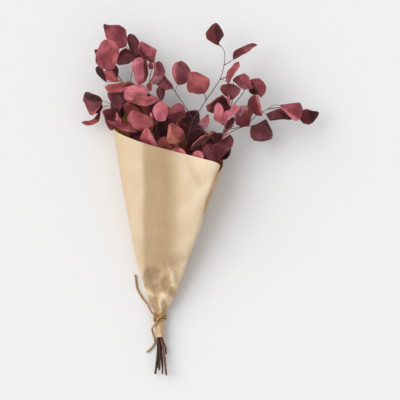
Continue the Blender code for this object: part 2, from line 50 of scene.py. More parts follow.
def put(place):
    """A place in millimetres as a place in metres in the bunch's own frame."""
    return (Vector(place) - MIDDLE) * MM


bpy.ops.object.select_all(action="DESELECT")
aim = put((-2.5, 0, 0))
bpy.ops.object.camera_add(location=(aim.x, aim.y, CAMERA_HEIGHT), rotation=(0, 0, 0))
camera = bpy.context.object
camera.name = "view_from_above"
camera.data.sensor_width = FILM_WIDTH
camera.data.lens = FILM_WIDTH * (CAMERA_HEIGHT - AIM_HEIGHT) / PICTURE_WIDTH
camera.data.clip_end = 20
bpy.context.scene.camera = camera

# The bunch lies on a plain pale table, lit by one broad window from the upper left. The rest of the
# room is as pale as the table, so that the shadow to the right is soft and light.
TABLE_GREY, TABLE_SIZE, TABLE_DROP = 0.80, 14.0, 0.0004
ROOM_LIGHT = 0.67
WINDOW_FROM = Vector((-1.3, 0.75, 1.45))
WINDOW_BREADTH, WINDOW_POWER = 0.95, 1.95

bpy.ops.mesh.primitive_plane_add(size=TABLE_SIZE, location=(0, 0, -TABLE_DROP))
table = bpy.context.object
table.name = "table"
pale = bpy.data.materials.new("pale table")
pale.use_nodes = True
pale.node_tree.nodes["Principled BSDF"].inputs["Base Color"].default_value = (*(TABLE_GREY,) * 3, 1)
pale.node_tree.nodes["Principled BSDF"].inputs["Roughness"].default_value = 0.9
table.data.materials.append(pale)

bpy.ops.object.light_add(type="SUN", location=WINDOW_FROM)
window = bpy.context.object
window.name = "window_light"
window.data.angle = WINDOW_BREADTH
window.data.energy = WINDOW_POWER
window.rotation_euler = (-WINDOW_FROM).to_track_quat("-Z", "Y").to_euler()

room = bpy.data.worlds.new("pale room")
bpy.context.scene.world = room
room.use_nodes = True
room.node_tree.nodes["Background"].inputs["Color"].default_value = (1, 1, 1, 1)
room.node_tree.nodes["Background"].inputs["Strength"].default_value = ROOM_LIGHT
bpy.context.scene.view_settings.view_transform = "Standard"

# The twine is three-ply jute, 3.4 mm thick, twisted and hairy. Its two free tails leave the knot,
# drop beside the bunch and lie on the table, and each ends bare and frayed.
TWINE = 3.4
PLY_LAY = 11.0
PLY_DEPTH = 0.26
UPPER_TAIL = ((-78.5, -196.1, 23), (-82.2, -194.5, 20.5), (-85.7, -190, 15.5), (-88.8, -184, 9.5),
              (-93, -176.5, 5), (-99, -169.5, 2.7), (-105.5, -160, 2.0), (-110, -150, 1.9),
              (-111.5, -140, 1.9), (-113, -129, 1.9))
LOWER_TAIL = ((-77.8, -211.7, 22.6), (-81, -214.8, 19.5), (-84, -219.5, 12), (-83.4, -226, 5),
              (-80.6, -235, 2.2), (-80, -244, 1.9), (-85, -252.5, 1.9), (-92, -259, 1.9))
JUTE, JUTE_DARK, JUTE_LIGHT = (0.60, 0.35, 0.14), (0.20, 0.09, 0.03), (0.82, 0.57, 0.29)


def smooth_route(points, step):
    """Points about a step apart on a smooth curve through the given ones."""
    points = [Vector(p) for p in points]
    ends = [2 * points[0] - points[1], *points, 2 * points[-1] - points[-2]]
    route = []
    for before, start, end, after in zip(ends, ends[1:], ends[2:], ends[3:]):
        count = max(1, round((end - start).length / step))
        for i in range(count):
            t = i / count
            route.append(0.5 * (2 * start + (end - before) * t
                                + (2 * before - 5 * start + 4 * end - after) * t ** 2
                                + (3 * start - before - 3 * end + after) * t ** 3))
    return [*route, points[-1]]


def length_of(route):
    return sum((b - a).length for a, b in zip(route, route[1:]))


def new_curve(name, radius, roundness=1):
    """An empty curve whose runs are round bars of this radius in millimetres."""
    curve = bpy.data.curves.new(name, "CURVE")
    curve.dimensions = "3D"
    curve.bevel_depth = radius * MM
    curve.bevel_resolution = roundness
    curve.use_fill_caps = True
    return curve


def add_run(curve, places, widths=None, turn=0.0):
    """One run of a curve. widths: a factor at each place. turn: radians of twist from place to place."""
    run = curve.splines.new("POLY")
    run.points.add(len(places) - 1)
    for i, point in enumerate(run.points):
        point.co = (*put(places[i]), 1)
        point.radius = widths[i] if widths else 1.0
        point.tilt = turn * i


def select_only(*objects):
    bpy.ops.object.select_all(action="DESELECT")
    for item in objects:
        item.select_set(True)
    bpy.context.view_layer.objects.active = objects[-1]


def as_mesh(curve):
    """The curve as a mesh at the origin, its caps joined to its sides and its faces outwards."""
    shown = bpy.data.objects.new(curve.name, curve)
    bpy.context.scene.collection.objects.link(shown)
    select_only(shown)
    bpy.ops.object.convert(target="MESH")
    shown = bpy.context.object
    bpy.ops.object.mode_set(mode="EDIT")
    bpy.ops.mesh.select_all(action="SELECT")
    bpy.ops.mesh.remove_doubles(threshold=1e-6)
    bpy.ops.mesh.normals_make_consistent(inside=False)
    bpy.ops.object.mode_set(mode="OBJECT")
    return shown


def joined(name, pieces):
    """The pieces as one, under this name."""
    select_only(*pieces)
    if len(pieces) > 1:
        bpy.ops.object.join()
    whole = bpy.context.object
    whole.name = whole.data.name = name
    whole.data.shade_smooth()
    return whole


def adder(tree):
    """A function that adds one node to the tree, its inputs values or other nodes' outputs."""
    def add(kind, inputs=None, out=0, **settings):
        made = tree.nodes.new("ShaderNode" + kind)
        for key, value in settings.items():
            setattr(made, key, value)
        for key, value in (inputs or {}).items():
            if isinstance(value, bpy.types.NodeSocket):
                tree.links.new(value, made.inputs[key])
            else:
                made.inputs[key].default_value = value
        return made.outputs[out]
    return add


def mixed(add, factor, first, second, how="MIX"):
    """Two colours mixed, each a colour or another node's output."""
    first, second = (c if isinstance(c, bpy.types.NodeSocket) else (*c, 1)[:4] for c in (first, second))
    return add("Mix", {0: factor, 6: first, 7: second}, out=2, data_type="RGBA", blend_type=how)


def rising(add, value, low, high, least=0.0, most=1.0):
    """A soft step from the least to the most as the value goes from low to high."""
    return add("MapRange", {0: value, 1: low, 2: high, 3: least, 4: most}, interpolation_type="SMOOTHSTEP")


def math_node(add, how, first, second=0.0, third=0.0):
    return add("Math", {0: first, 1: second, 2: third}, operation=how)


def finish_material(material, colour, roughness, height, depth):
    """Links colour, roughness and relief into the material's own Principled shader."""
    tree = material.node_tree
    shader = tree.nodes["Principled BSDF"]
    tree.links.new(colour, shader.inputs["Base Color"])
    if isinstance(roughness, bpy.types.NodeSocket):
        tree.links.new(roughness, shader.inputs["Roughness"])
    else:
        shader.inputs["Roughness"].default_value = roughness
    bump = adder(tree)("Bump", {"Height": height, "Distance": depth})
    tree.links.new(bump, shader.inputs["Normal"])


def new_material(name, specular):
    material = bpy.data.materials.new(name)
    material.use_nodes = True
    material.node_tree.nodes["Principled BSDF"].inputs["Specular IOR Level"].default_value = specular
    return material


jute = new_material("twisted jute", 0.2)
add = adder(jute.node_tree)
lay = add("UVMap", uv_map="UVMap")
stretched = add("Mapping", {"Vector": lay, "Scale": (0.35, 34, 1)})
strands = add("TexNoise", {"Vector": stretched, "Scale": 1.0, "Detail": 4, "Roughness": 0.65})
blotches = add("TexNoise", {"Vector": add("TexCoord", out=3), "Scale": 140.0, "Detail": 3})
tone = mixed(add, rising(add, strands, 0.32, 0.68), JUTE_DARK, JUTE)
tone = mixed(add, rising(add, strands, 0.55, 0.8), tone, JUTE_LIGHT)
tone = mixed(add, rising(add, blotches, 0.35, 0.75, 0.0, 0.35), tone, JUTE_LIGHT)
finish_material(jute, tone, 0.85, strands, 0.0005)


def ply_outline():
    """The twine's cross-section: three rounded plies, as a closed curve."""
    outline = bpy.data.curves.new("ply outline", "CURVE")
    ring = outline.splines.new("POLY")
    ring.use_cyclic_u = True
    ring.points.add(17)
    for i, point in enumerate(ring.points):
        turn = 2 * math.pi * i / 18
        reach = TWINE / 2 * (1 - PLY_DEPTH * (0.5 - 0.5 * math.cos(3 * turn)) ** 0.8) * MM
        point.co = (reach * math.cos(turn), reach * math.sin(turn), 0, 1)
    made = bpy.data.objects.new("ply outline", outline)
    bpy.context.scene.collection.objects.link(made)
    return made


def add_fibres(hairs, route, count, reach, draw):
    """Loose fibres that leave the twine's surface and curl away from it or back."""
    for _ in range(count):
        at = draw.randrange(1, len(route) - 1)
        along = (route[at + 1] - route[at - 1]).normalized()
        out = along.orthogonal().normalized()
        out.rotate(Matrix.Rotation(draw.uniform(0, 2 * math.pi), 3, along))
        if route[at].z < 5:
            out.z = abs(out.z)
        far = draw.uniform(0.3, 1.0) * reach
        lean = along * far * draw.uniform(-1.8, 1.8)
        curl = along.cross(out) * far * draw.uniform(-0.8, 0.8)
        root = route[at] + out * TWINE * 0.36
        places = [root + out * far * t + lean * t ** 1.5 + curl * t ** 2 for t in (0, 0.3, 0.6, 0.85, 1)]
        thick = draw.uniform(0.6, 1.3)
        add_run(hairs, places, [thick, thick, thick * 0.9, thick * 0.7, thick * 0.3])


def make_twine(name, routes, fibres, reach, seed, frayed=False):
    """Twisted twine along each route, a millimetre from place to place, with its loose fibres."""
    draw = random.Random(seed)
    outline = ply_outline()
    hairs = new_curve(name + "_fibres", 0.09, 0)
    pieces = []
    for i, route in enumerate(routes):
        rope = new_curve(f"{name}_{i}", 1)
        rope.bevel_mode, rope.bevel_object = "OBJECT", outline
        add_run(rope, route, turn=2 * math.pi / PLY_LAY)
        pieces.append(as_mesh(rope))
        for corner in pieces[-1].data.uv_layers["UVMap"].data:
            corner.uv.x *= length_of(route)
        add_fibres(hairs, route, int(fibres * length_of(route)), reach, draw)
    if frayed:
        end, along = routes[0][-1], (routes[0][-1] - routes[0][-4]).normalized()
        for _ in range(46):
            side = Vector((draw.uniform(-1, 1), draw.uniform(-1, 1), draw.uniform(-0.3, 1))) * 1.9
            start = end - along * 3 + side * 0.5
            tip = end + along * draw.uniform(0.2, 2.2) + side * draw.uniform(0.6, 1.0)
            tip.z = max(tip.z, 0.3)
            add_run(hairs, [start, start.lerp(tip, 0.5) + side * 0.15, tip], [1.6, 1.4, 0.6])
    pieces.append(as_mesh(hairs))
    bpy.data.objects.remove(outline)
    twine = joined(name, pieces)
    twine.data.materials.clear()
    twine.data.materials.append(jute)
    return twine


for name, points in (("twine_tail_upper", UPPER_TAIL), ("twine_tail_lower", LOWER_TAIL)):
    route = smooth_route(points, 1)
    tail = make_twine("jute_" + name, [route], 1.5, 1.7, len(points), frayed=True)
    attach(tail, "root")
    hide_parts(name)
    put(route[0])
    length_of(route) * MM
    [put(place) for place in route]

# The tie is one length of the same twine: a little over three turns round the paper's neck, wound
# down it, then a strand brought up over them on the front, and a knot at the upper left.
NECK = Vector((-71.0, -200.0, 11.8))
NECK_RADIUS = 7.8
TIE_LAY = (NECK_RADIUS + 0.3 + TWINE / 2) / math.cos(math.pi / 18)
TURNS, TURN_PITCH = 3.2, 4.1
KNOT_ANGLE, KNOT_RADIUS = 118.0, 3.4


def about_neck(degrees, radius, y):
    turn = math.radians(degrees)
    return NECK + Vector((radius * math.cos(turn), y, radius * math.sin(turn)))


span, count = TURNS * TURN_PITCH, 197
turns = [about_neck(200 + 360 * TURNS * i / count, TIE_LAY, span / 2 - span * i / count)
         for i in range(count + 1)]
strand = [about_neck(140 - 100 * i / 8, TIE_LAY + TWINE * 0.72 - 1.2 * (abs(i - 4) / 4) ** 2,
                     -7.5 + 15 * i / 8) for i in range(9)]
middle = about_neck(KNOT_ANGLE, TIE_LAY + TWINE * 0.9, -4)
out = (middle - NECK).normalized()
side = Vector((0, 1, 0))
across = side.cross(out)
loop = []
for i in range(19):
    turn = 2 * math.pi * i / 20
    radius = KNOT_RADIUS * (1 + 0.45 * math.cos(3 * turn / 2) ** 2)
    loop.append(middle + across * radius * math.cos(turn) + side * radius * math.sin(turn)
                + out * 1.2 * math.sin(3 * turn))
core = [middle - across * 4, middle - out * 2, middle + across * 4]
tie = make_twine("jute_tie", [turns, *(smooth_route(r, 1) for r in (strand, loop, core))], 0.9, 3.2, 4)
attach(tie, "root")
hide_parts("twine_tie")

# The wrapper is one square sheet of brown kraft paper, rolled once and a bit round the stems with
# a corner at the back, so that its front edge slants down. It is creased by hand above the neck.
LEFT_SIDE = ((-236, -78.8), (-191, -78.8), (-185, -83.5), (-178, -88.5), (-148, -98),
             (-105, -111.5), (-32, -125), (45, -138.5), (120, -150), (160, -159), (215, -168))
RIGHT_SIDE = ((-236, -63.2), (-191, -63.2), (-185, -57), (-178, -50.5), (-151, -38.5),
              (-121, -27), (-60, -4.5), (0, 16), (31, 28), (61, 39), (100, 52), (215, 90))
TOP_HEIGHT = ((-236, 19.6), (-191, 19.6), (-180, 24.5), (-150, 35), (-100, 51), (-30, 68), (60, 80),
              (120, 86), (215, 92))
UNDERSIDE = ((-236, 4.0), (-191, 4.0), (-180, 2.0), (-165, 0.0), (215, 0.0))
UPPER_CUT = ((0, 34), (40, 44), (70, 62), (100, 95), (150, 149), (189, 200), (195, 204), (203, 196),
             (222, 176), (236, 148), (246, 123), (254, 118.5), (262, 114.5), (284, 105), (310, 92.5),
             (340, 80), (365, 70.5), (390, 63.5), (414, 57))
WRAP_STEP, WRAP_FROM, WRAP_SWEEP = 1.12, 62.0, 414.0
CUT_BOTTOM = -234.0
PINCHED_AT, COLLAR_FROM = -188, -209  # where the twine draws the paper in, and where its collar widens
FOLDS_BELOW, DEEPEST_FOLD = -84, -5
INNER_TO, FRONT_FROM, EDGE_FROM = 70, 250, 388  # degrees swept, for the inner layer, front and free edge
EDGE_PULL = 4.5
RIDGE_X, VALLEY_X = -98.0, -43.0
SLOPES = (0.28, -0.34, 0.28)  # left of the ridge, between ridge and valley, and right of the valley
PAPER_THICKNESS = 0.3
PAPER_GRID = (190, 170)
GRAIN_ROUND = 0.45  # metres of grain round the sheet
# Hand creases on the front: start, end, width across and height
CREASES = (((-69.5, -130), (-69, -180), 5, 4.0), ((-84, -130), (-77, -152), 12, -6.5),
           ((-93, -157), (-80, -162), 7, 5.0), ((-60, -165), (-52, -173), 7, 4.5),
           ((-79, -172), (-77, -192), 5, -4.0), ((-63.5, -174), (-63, -192), 3, -4.5),
           ((-88, -168), (-82, -182), 4, -2.5), ((-60, -140), (-53, -158), 7, -3.0),
           ((-49, -122), (-45, -146), 6, 2.5), ((-98, -90), (-48, -97), 14, -0.9),
           ((-104, -60), (-60, -52), 16, 0.8), ((-55, -112), (-18, -94), 10, -1.2),
           ((-10, -62), (12, 8), 7, -0.9), ((-118, -48), (-100, 12), 14, 0.9),
           ((-22, 62), (-4, 28), 10, -1.2), ((8, 54), (20, 20), 9, 1.2), ((-30, -20), (-6, -44), 9, 1.0))
# A painted sheen across the front: how much pale colour is painted where the smooth side's facets
# catch the window's light. The inner layer is marked -1, for its painted warm shade.
PAINTED_SHEEN_ACROSS = ((-145, 0.35), (-103, 0.5), (-94, 0.1), (-60, 0.0), (-30, 0.6), (10, 0.82), (60, 0.8))
# Marks the inner layer, painted warm orange as shade with light shining through the paper.
WARM_SHADE_MARK = -1.0
# The pale colour of the painted sheen, and the orange of the inner layer's painted warm shade.
SHEEN_PAINT, PAINTED_WARM_SHADE = (0.80, 0.65, 0.46), (0.58, 0.27, 0.075)
# The kraft's own colour, and the inside's: the rough side, darker and more orange as painted shade and warm
# bounce light inside the roll.
KRAFT, KRAFT_INSIDE_AND_SHADE = (0.565, 0.385, 0.20), (0.45, 0.21, 0.055)


def held(value):
    return min(1.0, max(0.0, value))


def between(table, at):
    """The second number of a table at this first number, on a straight line between its rows."""
    if at <= table[0][0]:
        return table[0][1]
    for (low, start), (high, end) in zip(table, table[1:]):
        if at <= high:
            return start + (end - start) * (at - low) / (high - low)
    return table[-1][1]


def eased(table, at):
    """The same, with its corners rounded."""
    return sum(between(table, at + shift) for shift in (-6, -3, 0, 3, 6)) / 5


def facets_at(x, y, wide, long, seed):
    """The height, from -0.5 to 0.5, of a surface of flat triangles of about this width and length."""
    along, up = x / wide + 0.35 * y / long, y / long - 0.3 * x / wide
    column, row = math.floor(along), math.floor(up)
    a, b = along - column, up - row

    def corner(i, j):
        return 0.5 * noise.cell(Vector((column + i + 0.5, row + j + 0.5, seed)))

    if a + b < 1:
        return corner(0, 0) * (1 - a - b) + corner(1, 0) * a + corner(0, 1) * b
    return corner(1, 1) * (a + b - 1) + corner(1, 0) * (1 - b) + corner(0, 1) * (1 - a)


def crease_at(x, y):
    """The height of the hand creases here, and how hard the paper is creased: over 0 on a ridge,
    and under 0 in a fold."""
    here = Vector((x, y))
    near_neck = held((FOLDS_BELOW - y) / 60)
    crumple = facets_at(x, y, 9.5, 17, 3.5) + 0.3 * facets_at(x, y, 4.5, 7, 6.5)
    height, hardness = 9 * near_neck * crumple, 0.7 * near_neck * crumple
    height += 0.8 * facets_at(x, y, 26, 34, 9.5) * (1 - near_neck)
    faint = abs(noise.noise(Vector((x * 0.022, y * 0.016, 11))))
    height += 1.6 * (0.2 - faint) * (1 - near_neck)
    for start, end, width, lift in CREASES:
        start, end = Vector(start), Vector(end)
        along = end - start
        share = held((here - start).dot(along) / along.length_squared)
        away = (here - start - along * share).length / width
        fold = max(0.0, 1 - 0.62 * away)
        height += lift * fold * 0.8
        hardness += fold * abs(lift) / 2.5 * (1 if lift > 0 else -1)
    return height, hardness


def paper_point(y, degrees, inward):
    """A point of the rolled sheet's outer face, and the crease there."""
    left, right, low, high = (eased(t, y) for t in (LEFT_SIDE, RIGHT_SIDE, UNDERSIDE, TOP_HEIGHT))
    opened = held((y + 190) / 60)
    turn = math.radians(degrees)
    gathered = math.exp(-((y - PINCHED_AT) / (26 if y > PINCHED_AT else 70)) ** 2)
    pleat = noise.noise(Vector((math.cos(turn) * 2.6, math.sin(turn) * 2.6, y * 0.012 + 5)))
    inward += gathered * (0.55 + 0.5 * math.sin(9 * turn + 3 * pleat)) * (0.8 if y > PINCHED_AT else 0.3)
    if y < COLLAR_FROM:
        inward -= 0.7 * min(1.0, (COLLAR_FROM - y) / 6) + 0.7 * facets_at(turn * 3, y, 1.1, 6, 2.5)
    if y > -180:
        slack = noise.noise(Vector((math.cos(turn) * 1.6, math.sin(turn) * 1.6, y * 0.011)))
        inward -= slack * opened * 1.3 - 0.35 * opened
    half = (right - left) / 2 - inward
    x = (left + right) / 2 + half * math.cos(turn)
    sunk = 0.16 * opened
    up, boxy = math.sin(turn), 2 + 4.5 * opened
    if up > 0:
        up = (1 - abs(math.cos(turn)) ** boxy) ** (1 / boxy)
    rise = (1 + up) / 2 * (1 + sunk) - sunk
    z = low + (high - low) * rise - inward * math.sin(turn)
    hardness = 0.0
    if math.sin(turn) > 0:
        first, middle, last = SLOPES
        fold = ((first + last) / 2 * (x - RIDGE_X) - (first - middle) / 2 * math.hypot(x - RIDGE_X, 2.5)
                + (last - middle) / 2 * (math.hypot(x - VALLEY_X, 8) - VALLEY_X + RIDGE_X))
        z += held((y + 190) / 130) * (3 + fold) * up
        lift, hardness = crease_at(x, y)
        deepest = DEEPEST_FOLD * held((y - PINCHED_AT) / 60)
        z += max(lift, deepest) * min(1.0, math.sin(turn) * 2)
    return Vector((x, y, max(low, z))), hardness


bpy.ops.object.select_all(action="DESELECT")
bpy.ops.mesh.primitive_grid_add(x_subdivisions=PAPER_GRID[0], y_subdivisions=PAPER_GRID[1], size=1)
paper = bpy.context.object
paper.name = paper.data.name = "kraft_paper_wrapper"
for name, kind in (("crease", "FLOAT"), ("painted_sheen_and_warm_shade", "FLOAT"), ("flat", "FLOAT_VECTOR")):
    paper.data.attributes.new(name, kind, "POINT")
crease, painted_sheen_and_warm_shade, flat = (paper.data.attributes[name] for name in ("crease", "painted_sheen_and_warm_shade", "flat"))
for vertex in paper.data.vertices:
    across, share = vertex.co.x + 0.5, (vertex.co.y + 0.5) * (0.775 + 0.45 * vertex.co.y)
    swept = across * WRAP_SWEEP
    ragged = 1.6 * noise.noise(Vector((across * 14, 0, 0))) * (1 - share) ** 12
    y = CUT_BOTTOM + ragged + (between(UPPER_CUT, swept) - CUT_BOTTOM - ragged) * share
    inward = WRAP_STEP * (1 - across) * WRAP_SWEEP / 360
    place, hardness = paper_point(y, WRAP_FROM - swept, inward)
    at_edge = max(0.0, (swept - EDGE_FROM) / (WRAP_SWEEP - EDGE_FROM))
    place.x -= EDGE_PULL * at_edge * held((y + 40) / 40)
    vertex.co = put(place)
    # The crease's hardness is kept for the paint: paler on ridges and raised facets as rub wear and painted
    # highlight, darker in folds and low facets as painted shade.
    crease.data[vertex.index].value = hardness
    wander = 5 * noise.noise(Vector((0, y * 0.02, 2))) + 2 * noise.noise(Vector((0, y * 0.08, 5)))
    # Painted sheen here: pale colour where the front's facets catch the light, fading towards the neck.
    sheen_here = between(PAINTED_SHEEN_ACROSS, place.x + wander) * held((y + 185) / 45)
    # The inner layer is marked for its painted warm shade.
    inner = WARM_SHADE_MARK if swept < INNER_TO else 0.0
    painted_sheen_and_warm_shade.data[vertex.index].value = sheen_here if swept > FRONT_FROM else inner
    flat.data[vertex.index].vector = (across * GRAIN_ROUND, y * MM, 0)

kraft = new_material("brown kraft paper", 0.8)
# The inside's colour is partly the rough side and partly painted shade and warm bounce light.
inside = new_material("kraft paper inside and painted shade", 0.3)

# The paper's colour: pulp, fibres and flecks, with painted sheen, painted warm shade and painted crease
# light and shade over them.
pulp = bpy.data.node_groups.new("paper pulp and painted light", "ShaderNodeTree")
pulp.interface.new_socket("Paper", in_out="INPUT", socket_type="NodeSocketColor")
pulp.interface.new_socket("Color", in_out="OUTPUT", socket_type="NodeSocketColor")
pulp.interface.new_socket("Roughness", in_out="OUTPUT", socket_type="NodeSocketFloat")
pulp.interface.new_socket("Height", in_out="OUTPUT", socket_type="NodeSocketFloat")
add = adder(pulp)
given = pulp.nodes.new("NodeGroupInput").outputs["Paper"]
sheet = add("Attribute", attribute_name="flat", out=1)
crease_wear_and_shade = add("Attribute", attribute_name="crease", out=2)
sheen_and_warm_shade = add("Attribute", attribute_name="painted_sheen_and_warm_shade", out=2)
clouds = add("TexNoise", {"Vector": sheet, "Scale": 28.0, "Detail": 5, "Roughness": 0.6})
grain = add("Mapping", {"Vector": sheet, "Scale": (900, 240, 1), "Rotation": (0, 0, 0.12)})
fibres = add("TexNoise", {"Vector": grain, "Scale": 1.0, "Detail": 5, "Roughness": 0.7})
flecks = add("TexVoronoi", {"Vector": sheet, "Scale": 420.0, "Randomness": 1.0})
fine = add("TexNoise", {"Vector": sheet, "Scale": 2600.0, "Detail": 2})
ribs = add("TexWave", {"Vector": sheet, "Scale": 150.0, "Distortion": 0.6, "Detail": 1}, out=1)
tone = mixed(add, rising(add, clouds, 0.3, 0.7, 0.0, 0.16), given, (0.45, 0.28, 0.14), "MULTIPLY")
tone = mixed(add, rising(add, fibres, 0.5, 0.85, 0.0, 0.35), tone, (0.80, 0.62, 0.40))
tone = mixed(add, rising(add, fibres, 0.5, 0.2, 0.0, 0.3), tone, (0.30, 0.17, 0.08))
tone = mixed(add, rising(add, flecks, 0.16, 0.03, 0.0, 0.4), tone, (0.26, 0.14, 0.06))
# Painted sheen: pale colour laid where the front's facets catch the light.
tone = mixed(add, math_node(add, "MULTIPLY", sheen_and_warm_shade, rising(add, clouds, 0.25, 0.7, 0.6, 1.15)), tone, SHEEN_PAINT)
# Painted warm shade: orange on the inner layer, for shade and light shining through it.
tone = mixed(add, rising(add, sheen_and_warm_shade, -0.3, -0.8, 0.0, 0.8), tone, PAINTED_WARM_SHADE)
# Along the creases: paler on ridges as rub wear and painted highlight, darker in folds as painted shade.
tone = mixed(add, rising(add, crease_wear_and_shade, 0.1, 0.9, 0.0, 0.6), tone, (0.80, 0.64, 0.44))
tone = mixed(add, rising(add, crease_wear_and_shade, -0.1, -0.9, 0.0, 0.6), tone, (0.36, 0.22, 0.11))
relief = math_node(add, "MULTIPLY_ADD", fibres, 0.6, math_node(add, "MULTIPLY", fine, 0.35))
relief = math_node(add, "MULTIPLY_ADD", ribs, 0.12, relief)
end = pulp.nodes.new("NodeGroupOutput")
pulp.links.new(tone, end.inputs["Color"])
pulp.links.new(rising(add, fibres, 0.2, 0.8, 0.4, 0.56), end.inputs["Roughness"])
pulp.links.new(relief, end.inputs["Height"])

for material, colour in ((kraft, KRAFT), (inside, KRAFT_INSIDE_AND_SHADE)):
    made = material.node_tree.nodes.new("ShaderNodeGroup")
    made.node_tree = pulp
    made.inputs["Paper"].default_value = (*colour, 1)
    finish_material(material, *(made.outputs[k] for k in ("Color", "Roughness", "Height")), 0.00012)
    paper.data.materials.append(material)

select_only(paper)
bpy.ops.object.modifier_add(type="SOLIDIFY")
thicken = paper.modifiers[0]
thicken.thickness = PAPER_THICKNESS * MM
thicken.offset = -1
thicken.use_even_offset = False
thicken.material_offset = 1
thicken.material_offset_rim = 0
bpy.ops.object.modifier_apply(modifier=thicken.name)
paper.data.shade_smooth()
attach(paper, "root")
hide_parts("paper_wrapper")
